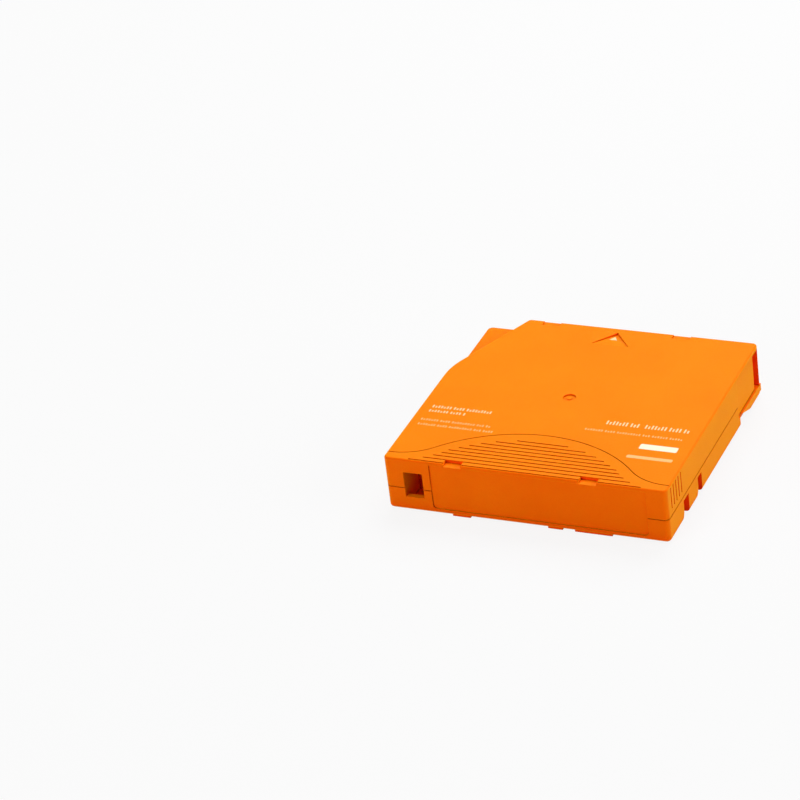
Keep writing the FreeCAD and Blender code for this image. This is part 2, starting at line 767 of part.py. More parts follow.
# Hollow, with a lower ceiling under the ledge of the guide.
cut_boxes(upper, "upper_cavity", [(IN_LEFT, IN_RIGHT, IN_LABEL, IN_LEADING)],
          SPLIT, f"({LEDGE} - plate)")
SHIFT = f"(wall * sqrt(1 + {SLANT} * {SLANT}))"
high_cavity = new_sketch(upper, "high_cavity", CEILING)
polygon(high_cavity, [
    (IN_LEFT, IN_LABEL),
    (IN_RIGHT, IN_LABEL),
    (IN_RIGHT, IN_LEADING),
    (f"({LEFT} + guide_start - wall * {SLANT} + {SHIFT})", IN_LEADING),
    (IN_LEFT, f"({LEADING} - (guide_start + {SHIFT} - wall) / {SLANT})"),
])
pocket(upper, high_cavity, f"{CEILING} - {SPLIT}")

# Label panel: a shallow recess carried down past the seam as an apron.
cut_boxes(upper, "label_recess_cut", [
    (LABEL_X0, LABEL_X1, f"({LABEL} - spare)", f"({LABEL} + label_recess)"),
], f"({SPLIT} - spare)", f"({TOP} - label_top)")
add_boxes(upper, "label_apron", [
    (f"({LABEL_X0} + mould_gap)", f"({LABEL_X1} - mould_gap)", f"({LABEL} + label_recess)", IN_LABEL),
], "(label_foot + mould_gap)", SPLIT)
dress(upper, "Fillet", "Radius", "label_round",
      lambda edge: apron_corner(edge, "label_foot + mould_gap", "mould_gap"))
cut_boxes(upper, "window_upper", [
    (WINDOW_X0, WINDOW_X1, f"({LABEL} - spare)", f"({IN_LABEL} + sunk)"),
], f"({SPLIT} - spare)", WINDOW_TOP)
slider_track(upper, "upper_track", SPLIT, CEILING)

# Screw posts with blind pilot holes.
spots = screw_spots()
PILOT_TOP = f"({SPLIT} + screw_bite + pilot_spare)"
add_rounds(upper, "upper_posts", [spots[k] + ("screw_boss",) for k in (0, 1, 3)], SPLIT, CEILING)
add_rounds(upper, "ledge_post", [spots[2] + ("screw_boss",)], SPLIT, f"({LEDGE} - plate)")
cut_rounds(upper, "pilot_holes", [(x, y, "(screw_radius + fit_gap / 2)") for x, y in spots],
           SPLIT, PILOT_TOP)

# Cross key that stops the brake from turning, and the ring that holds its spring.
KEY_END = f"({SOCKET} + brake_lift + key_play)"


def cross(sketch, x, y, length, width):
    far = f"{length} / 2"
    near = f"{width} / 2"
    turns = [(far, near), (near, near), (near, far)]
    turns += [(f"-{near}", far), (f"-{near}", near), (f"-{far}", near)]
    turns += [(f"-{far}", f"-{near}"), (f"-{near}", f"-{near}"), (f"-{near}", f"-{far}")]
    turns += [(near, f"-{far}"), (near, f"-{near}"), (far, f"-{near}")]
    polygon(sketch, [(f"({x} + {a})", f"({y} + {b})") for a, b in turns])


key = new_sketch(upper, "brake_key", KEY_END)
cross(key, "reel_x", "reel_y", "key_length", "key_width")
pad(upper, key, f"{CEILING} - {KEY_END}")
ring = new_sketch(upper, "spring_ring", f"({CEILING} - ring_height)")
circle(ring, "reel_x", "reel_y", "(coil_radius + coil_wire + ring_gap + ring_wall)")
circle(ring, "reel_x", "reel_y", "(coil_radius + coil_wire + ring_gap)")
pad(upper, ring, "ring_height")

door_frame(upper, "upper_door", SPLIT, CEILING, f"({CEILING} - rail_height)", CEILING)
pin_seat(upper, "upper_seat", f"({CEILING} - seat_height)", CEILING)

# Stacking notches along the label edge and the leading edge.
for name, near in (("notches_left", "notch_left"), ("notches_right", "notch_right")):
    across = (f"({near} - case_width / 2)", f"({near} + notch_width - case_width / 2)")
    cut_boxes(upper, name, [
        across + (f"({LABEL} - spare)", f"({LABEL} + notch_run)"),
    ], f"({TOP} - notch_depth)", f"({TOP} + spare)")
    cut_boxes(upper, name + "_lead", [
        across + (f"({LEADING} - notch_run)", f"({LEADING} + spare)"),
    ], f"({TOP} - notch_lead)", f"({TOP} + spare)")

# Moulding gate over the reel axis.
cut_rounds(upper, "gate_dimple", [("reel_x", "reel_y", "gate_radius")], f"({TOP} - gate_depth)", TOP)
add_rounds(upper, "gate_nub", [("reel_x", "reel_y", "gate_stub")],
           f"({TOP} - gate_depth)", f"({TOP} - gate_depth / 2)")

# Insertion arrow: a sunk triangle whose floor slopes down towards its tip.
arrow = new_sketch(upper, "arrow", TOP)
arrow.AttachmentOffset = FreeCAD.Placement(
    FreeCAD.Vector(0, 0, 0), FreeCAD.Rotation(FreeCAD.Vector(1, 0, 0), -1))
drive(arrow, "AttachmentOffset.Base.z", f"{TOP} - arrow_step")
drive(arrow, "AttachmentOffset.Base.y", f"{LEADING} - arrow_tip - arrow_length")
drive(arrow, "AttachmentOffset.Rotation.Angle", "-atan(arrow_depth / arrow_length)")
polygon(arrow, [
    ("-arrow_half", "0"),
    ("arrow_half", "0"),
    ("0", "sqrt(arrow_length * arrow_length + arrow_depth * arrow_depth)"),
])
pocket(upper, arrow, "plate", True)

# Bell shaped line round the grip: a crest arc, two tail arcs and straight run-outs.
BELL_Y = f"({LABEL} + bell_foot + bell_rise - bell_crest)"
TAIL_Y = f"({LABEL} + bell_foot + bell_tail)"
REACH = "(bell_crest + bell_tail)"
TAIL_X = f"sqrt({REACH} * {REACH} - ({REACH} - bell_rise) * ({REACH} - bell_rise))"
LEAN = f"({TAIL_X} / {REACH})"


def arc(sketch, x, y, radius, start, stop, ends):
    """An arc with its centre, radius and the X of both ends tied to the sheet."""
    middle = FreeCAD.Vector(size(x), size(y), 0)
    ring = Part.Circle(middle, FreeCAD.Vector(0, 0, 1), size(radius))
    index = sketch.addGeometry(Part.ArcOfCircle(ring, start, stop), False)
    wanted = [
        (Sketcher.Constraint("DistanceX", -1, 1, index, 3, middle.x), x),
        (Sketcher.Constraint("DistanceY", -1, 1, index, 3, middle.y), y),
        (Sketcher.Constraint("Radius", index, size(radius)), radius),
    ]
    for spot, text in zip((1, 2), ends):
        wanted.append((Sketcher.Constraint("DistanceX", -1, 1, index, spot, size(text)), text))
    pin_down(sketch, wanted)


def line(sketch, start, stop):
    ends = [FreeCAD.Vector(size(x), size(y), 0) for x, y in (start, stop)]
    index = sketch.addGeometry(Part.LineSegment(*ends), False)
    wanted = []
    for spot, (x, y) in zip((1, 2), (start, stop)):
        wanted.append((Sketcher.Constraint("DistanceX", -1, 1, index, spot, size(x)), x))
        wanted.append((Sketcher.Constraint("DistanceY", -1, 1, index, spot, size(y)), y))
    pin_down(sketch, wanted)


bell = new_sketch(upper, "bell_line", TOP)
lean = math.asin(size(LEAN))
OUT_X = f"({TAIL_X} + wall)"
for sign in ("+", "-"):
    half = f"{sign} groove_width / 2"
    other = f"{'-' if sign == '+' else '+'} groove_width / 2"
    meet = f"((bell_crest {half}) * {LEAN})"
    foot = f"({LABEL} + bell_foot {half})"
    arc(bell, "0", BELL_Y, f"(bell_crest {half})", math.pi / 2 - lean, math.pi / 2 + lean,
        (meet, f"(-{meet})"))
    arc(bell, TAIL_X, TAIL_Y, f"(bell_tail {other})", 1.5 * math.pi - lean, 1.5 * math.pi,
        (meet, TAIL_X))
    arc(bell, f"(-{TAIL_X})", TAIL_Y, f"(bell_tail {other})", 1.5 * math.pi, 1.5 * math.pi + lean,
        (f"(-{TAIL_X})", f"(-{meet})"))
    line(bell, (TAIL_X, foot), (OUT_X, foot))
    line(bell, (f"(-{TAIL_X})", foot), (f"(-{OUT_X})", foot))
for side in ("", "-"):
    line(bell, (f"({side}{OUT_X})", f"({LABEL} + bell_foot - groove_width / 2)"),
         (f"({side}{OUT_X})", f"({LABEL} + bell_foot + groove_width / 2)"))
pocket(upper, bell, "groove_depth")

# Grip lines inside the bell.
ROWS = 10
rows = new_sketch(upper, "grip_rows", TOP)
turn_y = size(f"{BELL_Y} + bell_crest * ({REACH} - bell_rise) / {REACH}")
for k in range(ROWS):
    middle = f"({LABEL} + row_first + {k} * row_pitch)"
    if size(middle) > turn_y:
        span = f"sqrt(max((bell_crest - bell_margin)^2 - ({middle} - {BELL_Y})^2; 9))"
    else:
        span = f"({TAIL_X} - sqrt(max((bell_tail + bell_margin)^2 - ({middle} - {TAIL_Y})^2; 9)))"
    rectangle(rows, f"(-{span})", span, f"({middle} - row_width / 2)", f"({middle} + row_width / 2)")
pocket(upper, rows, "groove_depth")

# Upright grip grooves near the label end of both sides.
GRIPS = 5
for name, place, flip in (("grips_right", RIGHT, False), ("grips_left", LEFT, True)):
    grips = new_sketch(upper, name, place, "YZ_Plane")
    for k in range(GRIPS):
        middle = f"({LABEL} + side_first + {k} * side_pitch)"
        rectangle(grips, f"({middle} - side_width / 2)", f"({middle} + side_width / 2)",
                  "side_foot", f"({TOP} - side_top)")
    pocket(upper, grips, "side_depth", flip)
doc.recompute()


# Reel: hub with its lower flange, drive gear below and brake teeth on its floor.

RECESS = f"({HUB_FLOOR} - release_plate - fit_gap)"
PITCH = "(360 / gear_teeth)"
BRAKE_PITCH = "(360 / brake_teeth)"


def tooth(body, name, height, inner, outer, pitch, length, flip, turn="0"):
    """One tapered tooth that stands across a ring, turned about the axis."""
    sketch = new_sketch(body, name, height)
    drive(sketch, "AttachmentOffset.Rotation.Angle", turn)
    spread = f"({pitch} * tooth_share)"
    polygon(sketch, [
        (f"({inner} * cos({spread}))", f"(-{inner} * sin({spread}))"),
        (f"({outer} * cos({spread}))", f"(-{outer} * sin({spread}))"),
        (f"({outer} * cos({spread}))", f"({outer} * sin({spread}))"),
        (f"({inner} * cos({spread}))", f"({inner} * sin({spread}))"),
    ])
    return pad(body, sketch, length, flip, "tooth_taper")


reel = new_body("reel_hub", "reel_x", "reel_y")
reel_profile = new_sketch(reel, "reel_profile", "0", "XZ_Plane")
WELD = "(hub_radius - weld_step)"
CORE = "(hub_radius - hub_wall)"
polygon(reel_profile, [
    ("0", REEL),
    ("gear_inner", REEL),
    ("gear_inner", f"({REEL} - gear_body)"),
    ("gear_outer", f"({REEL} - gear_body)"),
    ("gear_outer", REEL),
    (FLANGE, REEL),
    (FLANGE, SLOT),
    ("hub_radius", SLOT),
    ("hub_radius", UPPER),
    (WELD, UPPER),
    (WELD, f"({UPPER} + weld_height)"),
    (CORE, f"({UPPER} + weld_height)"),
    (CORE, HUB_FLOOR),
    ("0", HUB_FLOOR),
])
revolve(reel, reel_profile)
gear_tooth = tooth(reel, "gear_cog", f"({REEL} - gear_body)", "gear_inner", "gear_outer",
                   PITCH, "gear_tooth", True)
around(reel, gear_tooth, "gear_teeth")
per_arc = "(floor(brake_teeth / 3) - 2)"
for k, turn in enumerate(("90", "210", "330")):
    start = f"({turn} + 1.5 * {BRAKE_PITCH})"
    cog = tooth(reel, f"hub_cog_{k}", HUB_FLOOR, "brake_inner", "brake_outer",
                BRAKE_PITCH, "brake_tooth", False, start)
    around(reel, cog, per_arc, f"({per_arc} - 1) * {BRAKE_PITCH}")
cut_rounds(reel, "release_bed", [("0", "0", "(release_disc + leg_gap)")], RECESS, HUB_FLOOR)
ARM_END = "(leg_circle + leg_radius + leg_gap)"
arm_bed = cut_boxes(reel, "arm_bed", [
    ("(-release_arm / 2 - leg_gap)", "(release_arm / 2 + leg_gap)", "0", f"({ARM_END} + leg_gap)"),
], RECESS, HUB_FLOOR)
around(reel, arm_bed, "3")
leg_hole = cut_rounds(reel, "leg_hole", [("0", "leg_circle", "(leg_radius + leg_gap)")],
                      f"({GEAR_TIP} - spare)", HUB_FLOOR)
around(reel, leg_hole, "3")

top_flange = new_body("reel_upper_flange", "reel_x", "reel_y")
top_ring = new_sketch(top_flange, "flange_ring", UPPER)
circle(top_ring, "0", "0", FLANGE)
circle(top_ring, "0", "0", f"({WELD} + wrap_gap)")
pad(top_flange, top_ring, "flange")

chuck = new_body("drive_plate", "reel_x", "reel_y")
chuck_ring = new_sketch(chuck, "chuck_ring", f"({REEL} - chuck_plate)")
circle(chuck_ring, "0", "0", "(gear_inner - fit_gap)")
circle(chuck_ring, "0", "0", "chuck_hole")
pad(chuck, chuck_ring, "chuck_plate")
port = cut_rounds(chuck, "chuck_port_hole", [("0", "((gear_inner + chuck_hole) / 2)", "chuck_port")],
                  f"({REEL} - chuck_plate)", REEL)
around(chuck, port, "3")

roll = new_body("cleaning_tape_roll", "reel_x", "reel_y")
roll_ring = new_sketch(roll, "roll_ring", TAPE_LOW)
circle(roll_ring, "0", "0", "tape_radius")
circle(roll_ring, "0", "0", "(hub_radius + wrap_gap)")
pad(roll, roll_ring, "tape_width")

# Brake: a toothed disc keyed to the upper half, its spring, and the three legged release plate.

brake = new_body("brake_button", "reel_x", "reel_y")
brake_profile = new_sketch(brake, "brake_profile", "0", "XZ_Plane")
NUB = f"({HUB_FLOOR} + fit_gap / 2)"
BOSS_TOP = f"({BRAKE_TOP} + boss_height)"
polygon(brake_profile, [
    ("0", NUB),
    ("nub_radius", NUB),
    ("nub_radius", BRAKE),
    ("brake_radius", BRAKE),
    ("brake_radius", BRAKE_TOP),
    ("boss_radius", BRAKE_TOP),
    ("boss_radius", BOSS_TOP),
    ("0", BOSS_TOP),
])
revolve(brake, brake_profile)
nub_level = size(NUB)
dress(brake, "Fillet", "Radius", "nub_round", lambda edge: at_height(edge, nub_level))
socket = new_sketch(brake, "brake_socket", BOSS_TOP)
cross(socket, "0", "0", "(key_length + 2 * key_gap)", "(key_width + 2 * key_gap)")
pocket(brake, socket, f"{BOSS_TOP} - {SOCKET}")
brake_cog = tooth(brake, "brake_cog", BRAKE, "brake_inner", "brake_outer", BRAKE_PITCH, "brake_tooth",
                  True, "0")
around(brake, brake_cog, "brake_teeth")

release = new_body("release_plate", "reel_x", "reel_y")
PLATE_LOW = f"({RECESS} + fit_gap / 2)"
PLATE_HIGH = f"({PLATE_LOW} + release_plate)"
add_rounds(release, "release_disc_round", [("0", "0", "release_disc")], PLATE_LOW, PLATE_HIGH)
arm = add_boxes(release, "release_arm_bar", [
    ("-release_arm / 2", "release_arm / 2", "0", ARM_END),
], PLATE_LOW, PLATE_HIGH)
around(release, arm, "3")
leg = add_rounds(release, "release_leg", [("0", "leg_circle", "leg_radius")],
                 f"({GEAR_TIP} + leg_gap)", PLATE_HIGH)
around(release, leg, "3")


def coil(name, radius, wire, turns, length, place, turn):
    """A round wire spring wound about its own Z axis, then set in place."""
    spine = doc.addObject("Part::Helix", name + "_spine")
    drive(spine, "Radius", radius)
    drive(spine, "Pitch", f"({length} - 2 * {wire}) / {turns}")
    drive(spine, "Height", f"{length} - 2 * {wire}")
    section = doc.addObject("Part::Circle", name + "_section")
    drive(section, "Radius", wire)
    section.Placement = FreeCAD.Placement(
        FreeCAD.Vector(0, 0, 0), FreeCAD.Rotation(FreeCAD.Vector(1, 0, 0), 90))
    drive(section, "Placement.Base.x", radius)
    doc.recompute()
    spring = doc.addObject("Part::Sweep", name)
    spring.Label = name
    spring.Sections = [section]
    spring.Spine = (spine, [f"Edge{k + 1}" for k in range(len(spine.Shape.Edges))])
    spring.Solid = True
    spring.Frenet = True
    spring.Placement = FreeCAD.Placement(FreeCAD.Vector(0, 0, 0), turn)
    for axis, text in zip("xyz", place):
        drive(spring, f"Placement.Base.{axis}", text)
    return spring


brake_spring = coil("brake_spring", "coil_radius", "coil_wire", "coil_turns", f"({CEILING} - {BRAKE_TOP})",
                    ("reel_x", "reel_y", f"{BRAKE_TOP} + coil_wire"), FreeCAD.Rotation())

# Leader pin at the tape's free end, its clip, its spring and the run of tape up to it.

pin = new_body("leader_pin", PIN_X, PIN_Y)
pin_profile = new_sketch(pin, "pin_profile", "0", "XZ_Plane")
LOW_COLLAR = f"({TAPE_LOW} - fit_gap)"
HIGH_COLLAR = f"({TAPE_HIGH} + fit_gap)"
polygon(pin_profile, [
    ("0", f"({FLOOR} + pin_end_gap)"),
    ("pin_end", f"({FLOOR} + pin_end_gap)"),
    ("pin_end", f"({LOW_COLLAR} - collar_width)"),
    ("pin_collar", f"({LOW_COLLAR} - collar_width)"),
    ("pin_collar", LOW_COLLAR),
    ("pin_radius", LOW_COLLAR),
    ("pin_radius", HIGH_COLLAR),
    ("pin_collar", HIGH_COLLAR),
    ("pin_collar", f"({HIGH_COLLAR} + collar_width)"),
    ("pin_end", f"({HIGH_COLLAR} + collar_width)"),
    ("pin_end", f"({CEILING} - pin_end_gap)"),
    ("0", f"({CEILING} - pin_end_gap)"),
])
revolve(pin, pin_profile)
pin_ends = (size(f"{FLOOR} + pin_end_gap"), size(f"{CEILING} - pin_end_gap"))
dress(pin, "Chamfer", "Size", "leaf", lambda edge: min(abs(edge.BoundBox.ZMin - z) for z in pin_ends) < 1e-4
      and edge.BoundBox.ZLength < 1e-4)

clip = new_body("leader_pin_clip", PIN_X, PIN_Y)
CLIP_LOW = f"({TAPE_LOW} + clip_short / 2)"
CLIP_HIGH = f"({TAPE_HIGH} - clip_short / 2)"
CLIP_IN = "(pin_radius + tape_strip + fit_gap)"
clip_ring = new_sketch(clip, "clip_ring", CLIP_LOW)
circle(clip_ring, "0", "0", f"({CLIP_IN} + clip_wall)")
circle(clip_ring, "0", "0", CLIP_IN)
pad(clip, clip_ring, f"{CLIP_HIGH} - {CLIP_LOW}")
cut_boxes(clip, "clip_mouth_cut", [
    (f"(-{CLIP_IN} - clip_wall - spare)", "0", "-clip_mouth / 2", f"({CLIP_IN} + fit_gap)"),
], CLIP_LOW, CLIP_HIGH)

leaf = new_body("leader_pin_spring", PIN_X, PIN_Y)
WALL_Y = f"({IN_LEADING} - {PIN_Y})"
TOUCH_Y = "(pin_collar + fit_gap)"
add_boxes(leaf, "leaf_base", [
    ("-leaf_back", "-leaf_bend", f"({WALL_Y} - 2 * leaf)", f"({WALL_Y} - leaf)"),
], f"({FLOOR} + leaf)", f"({CEILING} - leaf)")
for name, low in (("leaf_low", f"({LOW_COLLAR} - leaf_width)"), ("leaf_high", HIGH_COLLAR)):
    finger = new_sketch(leaf, name, low)
    polygon(finger, [
        ("-leaf_root", f"({WALL_Y} - 2 * leaf)"),
        ("leaf_touch", TOUCH_Y),
        ("leaf_tip", f"({TOUCH_Y} + leaf_curl)"),
        ("(leaf_tip - leaf_slant)", f"({TOUCH_Y} + leaf_curl + leaf)"),
        ("(leaf_touch + leaf_fold)", f"({TOUCH_Y} + leaf_ease + leaf)"),
        ("-leaf_bend", f"({WALL_Y} - 2 * leaf)"),
        ("-leaf_bend", f"({WALL_Y} - leaf)"),
        ("-leaf_root", f"({WALL_Y} - leaf)"),
    ])
    pad(leaf, finger, "leaf_width")

SPAN_X = f"({PIN_X} - reel_x)"
SPAN_Y = f"({PIN_Y} - reel_y)"
SPAN = f"sqrt({SPAN_X} * {SPAN_X} + {SPAN_Y} * {SPAN_Y})"
RUN_R = "(tape_radius + run_gap)"
DIP = f"asin(({RUN_R} - pin_radius - pin_slack) / {SPAN})"
AIM = f"(atan2({SPAN_Y}; {SPAN_X}) - {DIP})"
run = doc.addObject("Part::Box", "tape_end_run")
run.Label = "tape_end_run"
drive(run, "Length", f"{SPAN} * cos({DIP})")
drive(run, "Width", "tape_strip")
drive(run, "Height", "tape_width")
drive(run, "Placement.Base.x", f"reel_x - {RUN_R} * sin({AIM})")
drive(run, "Placement.Base.y", f"reel_y + {RUN_R} * cos({AIM})")
drive(run, "Placement.Base.z", TAPE_LOW)
drive(run, "Placement.Rotation.Angle", AIM)

# Access door, with a round front end, a tongue in the sill groove and a rod for its spring.

door = new_body("access_door")
DOOR_LOW = "(sill + door_foot)"
DOOR_HIGH = f"({CEILING} - door_gap)"
add_boxes(door, "door_plate", [(DOOR_IN, DOOR_OUT, DOOR_REAR, DOOR_FRONT)], DOOR_LOW, DOOR_HIGH)
door_y = size(DOOR_FRONT)
door_level = size(DOOR_LOW)
out_x = size(DOOR_OUT)
dress(door, "Fillet", "Radius", "door_round", lambda edge: upright(edge)
      and abs(edge.BoundBox.XMin - out_x) < 1e-4 and abs(edge.BoundBox.YMin - door_y) < 1e-4)
dress(door, "Fillet", "Radius", "door_edge", lambda edge: at_height(edge, door_level)
      and edge.BoundBox.XMin > out_x - 1e-4)
add_boxes(door, "door_tongue", [
    (DOOR_IN, f"({IN_RIGHT} - door_gap)", DOOR_REAR, DOOR_FRONT),
], f"({FLOOR} + door_gap)", f"({DOOR_LOW} + spare)")
rod = new_sketch(door, "spring_rod", f"(-{DOOR_REAR} - spare)", "XZ_Plane")
circle(rod, COIL_X, COIL_Z, "rod_radius")
pad(door, rod, "rod_length + spare")

door_spring = coil("door_spring", "door_coil", "door_wire", "door_turns", "door_spring_length",
                   (COIL_X, f"{DOOR_REAR} - door_wire", COIL_Z),
                   FreeCAD.Rotation(FreeCAD.Vector(1, 0, 0), 90))

# Write protect slider, shown in its open place beside the window.

slider = new_body("write_protect_slider")
SLIDER_Y = f"({IN_LABEL} + slider_gap)"
add_boxes(slider, "slider_plate", [
    (SLIDER_X0, f"({SLIDER_X0} + slider_length)", SLIDER_Y, f"({SLIDER_Y} + slider_depth)"),
], f"({FLOOR} + slider_gap)", f"({CEILING} - slider_gap)")
add_boxes(slider, "slider_nub_bar", [
    (SLIDER_X0, f"({SLIDER_X0} + slider_nub)", f"({SLIDER_Y} - slider_reach)", f"({SLIDER_Y} + sunk)"),
], "(window_foot + slider_margin)", f"({WINDOW_TOP} - slider_margin)")

# Memory board on its stands, and its potted chip.

board = doc.addObject("Part::Box", "memory_board")
board.Label = "memory_board"
drive(board, "Length", "board_length")
drive(board, "Width", "board_width")
drive(board, "Height", "board_thick")
board.Placement.Rotation = FreeCAD.Rotation(FreeCAD.Vector(1, 0, 0), 45)
drive(board, "Placement.Base.x", BOARD_X0)
drive(board, "Placement.Base.y", BOARD_Y)
drive(board, "Placement.Base.z", BOARD_Z)
chip = doc.addObject("Part::Box", "memory_chip")
chip.Label = "memory_chip"
drive(chip, "Length", "chip_length")
drive(chip, "Width", "chip_width")
drive(chip, "Height", "chip_height")
chip.Placement.Rotation = FreeCAD.Rotation(FreeCAD.Vector(1, 0, 0), 45)
UP_BOARD = "((board_width - chip_width) / 2)"
drive(chip, "Placement.Base.x", f"{BOARD_X0} + (board_length - chip_length) / 2")
drive(chip, "Placement.Base.y", f"{BOARD_Y} + {UP_BOARD} * cos(45) - board_thick * sin(45)")
drive(chip, "Placement.Base.z", f"{BOARD_Z} + {UP_BOARD} * sin(45) + board_thick * cos(45)")

# Four case screws, driven from below.

screw_parts = []
for k, (x, y) in enumerate(spots):
    head = doc.addObject("Part::Cylinder", f"screw_{k}_head")
    drive(head, "Radius", "screw_head")
    drive(head, "Height", "screw_head_height")
    drive(head, "Placement.Base.z", f"{BASE} + screw_recess")
    shank = doc.addObject("Part::Cylinder", f"screw_{k}_shank")
    drive(shank, "Radius", "screw_radius")
    drive(shank, "Height", f"{SPLIT} + screw_bite - {SCREW_SEAT}")
    drive(shank, "Placement.Base.z", SCREW_SEAT)
    bars = []
    for name, length, width in (("a", "cross_length", "cross_width"), ("b", "cross_width", "cross_length")):
        bar = doc.addObject("Part::Box", f"screw_{k}_slot_{name}")
        drive(bar, "Length", length)
        drive(bar, "Width", width)
        drive(bar, "Height", "cross_depth")
        drive(bar, "Placement.Base.x", f"{x} - {length} / 2")
        drive(bar, "Placement.Base.y", f"{y} - {width} / 2")
        drive(bar, "Placement.Base.z", f"{BASE} + screw_recess")
        bars.append(bar)
    for piece in (head, shank):
        drive(piece, "Placement.Base.x", x)
        drive(piece, "Placement.Base.y", y)
    whole = doc.addObject("Part::Fuse", f"screw_{k}_whole")
    whole.Base = head
    whole.Tool = shank
    both = doc.addObject("Part::Fuse", f"screw_{k}_cross")
    both.Base = bars[0]
    both.Tool = bars[1]
    screw = doc.addObject("Part::Cut", f"screw_{k}")
    screw.Base = whole
    screw.Tool = both
    screw_parts.append(screw)
screws = doc.addObject("Part::Compound", "case_screws")
screws.Label = "case_screws"
screws.Links = screw_parts
doc.recompute()

NODES = [
    upper, lower, door, door_spring, slider, reel, top_flange, chuck, roll, brake, brake_spring,
    release, pin, clip, leaf, run, board, chip, screws,
]
faults = []
for item in doc.Objects:
    if "Invalid" in item.State or "Error" in item.State:
        faults.append(f"{item.Name} {item.State}")
for node in NODES:
    shape = node.Shape
    wanted = len(screw_parts) if node is screws else 1
    if shape.isNull() or not shape.isValid() or len(shape.Solids) != wanted:
        faults.append(f"{node.Label} has {len(shape.Solids)} solids")
if faults:
    raise RuntimeError("; ".join(faults))
os.makedirs("parts", exist_ok=True)
for node in NODES:
    node.Shape.exportStep(f"parts/{node.Label}.step")
    print(node.Label, round(node.Shape.Volume, 2))
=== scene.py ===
# %% [markdown]
# # A tape cleaning cartridge in the studio
# The cartridge is a flat plastic case with one reel of cleaning tape inside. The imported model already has
# every solid piece at its real size, so this lesson does not model the case again. It gives each piece the
# finish of its real material, adds the printed ink, and sets up camera and light.

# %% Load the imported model
import math

import bmesh
import bpy
from mathutils import Matrix, Vector


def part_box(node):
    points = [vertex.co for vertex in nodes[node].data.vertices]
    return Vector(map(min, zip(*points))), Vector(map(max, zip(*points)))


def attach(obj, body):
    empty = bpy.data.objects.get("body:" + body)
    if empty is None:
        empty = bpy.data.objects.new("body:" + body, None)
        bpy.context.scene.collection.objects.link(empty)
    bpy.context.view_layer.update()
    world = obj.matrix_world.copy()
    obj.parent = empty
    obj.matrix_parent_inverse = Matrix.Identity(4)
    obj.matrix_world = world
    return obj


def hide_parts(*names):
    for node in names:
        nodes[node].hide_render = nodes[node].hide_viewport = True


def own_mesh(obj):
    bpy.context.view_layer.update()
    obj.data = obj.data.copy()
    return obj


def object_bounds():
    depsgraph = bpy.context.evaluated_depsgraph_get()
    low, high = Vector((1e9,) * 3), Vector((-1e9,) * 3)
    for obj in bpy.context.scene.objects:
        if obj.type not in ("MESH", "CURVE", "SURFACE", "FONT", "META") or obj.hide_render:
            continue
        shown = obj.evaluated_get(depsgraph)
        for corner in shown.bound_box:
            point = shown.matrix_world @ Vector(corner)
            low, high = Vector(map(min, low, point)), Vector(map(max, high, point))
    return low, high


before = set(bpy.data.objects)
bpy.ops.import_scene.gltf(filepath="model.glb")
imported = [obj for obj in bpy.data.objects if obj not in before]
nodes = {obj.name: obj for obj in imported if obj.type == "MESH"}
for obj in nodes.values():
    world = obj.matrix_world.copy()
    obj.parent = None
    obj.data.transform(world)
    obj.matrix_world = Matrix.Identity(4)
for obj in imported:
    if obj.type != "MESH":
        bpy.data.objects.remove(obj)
solid_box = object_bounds()
MM = 0.001
case_low, case_high = (Vector(corner) for corner in solid_box)
print("case in mm:", [round(side / MM, 2) for side in case_high - case_low])

# %% [markdown]
# ## Colours and nodes
# Colours are written as the hex values a paint program shows. A shader works with linear light, so one
# function turns the hex value into linear numbers. A second small function adds a node, sets it up and links
# it, which keeps each finish below down to a few lines.


# %% One function for colour, one for nodes
def linear(hex_code):
    """The linear colour, with full alpha, of an sRGB hex value such as #ff8000."""
    channels = [int(hex_code[place:place + 2], 16) / 255 for place in (1, 3, 5)]
    straight = [c / 12.92 if c <= 0.04045 else ((c + 0.055) / 1.055) ** 2.4 for c in channels]
    return (*straight, 1.0)


def add_node(tree, kind, sockets=None, **settings):
    """One node with its settings. A socket takes a plain value or the output of another node."""
    node = tree.nodes.new(kind)
    for name, value in settings.items():
        setattr(node, name, value)
    for key, value in (sockets or {}).items():
        if isinstance(value, bpy.types.NodeSocket):
            tree.links.new(value, node.inputs[key])
        else:
            node.inputs[key].default_value = value
    return node


CASE_ORANGE = "#fb6704"
print("orange in linear light:", [round(c, 3) for c in linear(CASE_ORANGE)])


# %% How a finish starts and ends
def start_finish(name, **constants):
    """A new material: its node tree, its shader and the coordinates that its patterns read."""
    finish = bpy.data.materials.new(name)
    finish.use_nodes = True
    tree = finish.node_tree
    shader = tree.nodes["Principled BSDF"]
    for socket, value in constants.items():
        shader.inputs[socket.replace("_", " ")].default_value = value
    place = add_node(tree, "ShaderNodeTexCoord").outputs["Object"]
    return finish, tree, shader, place


def link_shader(tree, shader, **outputs):
    """Links outputs to the shader's sockets, which are named with underscores for spaces."""
    for socket, output in outputs.items():
        tree.links.new(output, shader.inputs[socket.replace("_", " ")])


print("materials before the first finish:", len(bpy.data.materials))

# %% [markdown]
# ## Moulded plastic
# The case is moulded from polycarbonate in a mould whose wall was spark eroded. That leaves a fine matt grain
# and faint clouds where the melt flowed. Two more marks are painted into the colour: edges get slightly rounded
# and paler, partly wear and partly a painted highlight, and grooves get darker, partly dust and partly painted
# shade. The bevel node finds edges, because it bends the normal there, and the occlusion node finds grooves,
# because little open space is left above them. A second occlusion node looks further and finds the case's
# recesses, which it paints a darker red: painted shade, standing in for the red light that bounces between
# orange walls. A yellow sheen lies over the case, because its matt grain scatters light. Grain and clouds are
# patterns on object coordinates, so they stay on the piece whatever the camera does. The grain of the real mould
# is near 0.1 mm, too fine for the picture, so it is drawn about four times as coarse.

# %% Blends and ramps
MIX_A, MIX_B, MIX_COLOUR = 6, 7, 2       # the colour sockets of a mix node


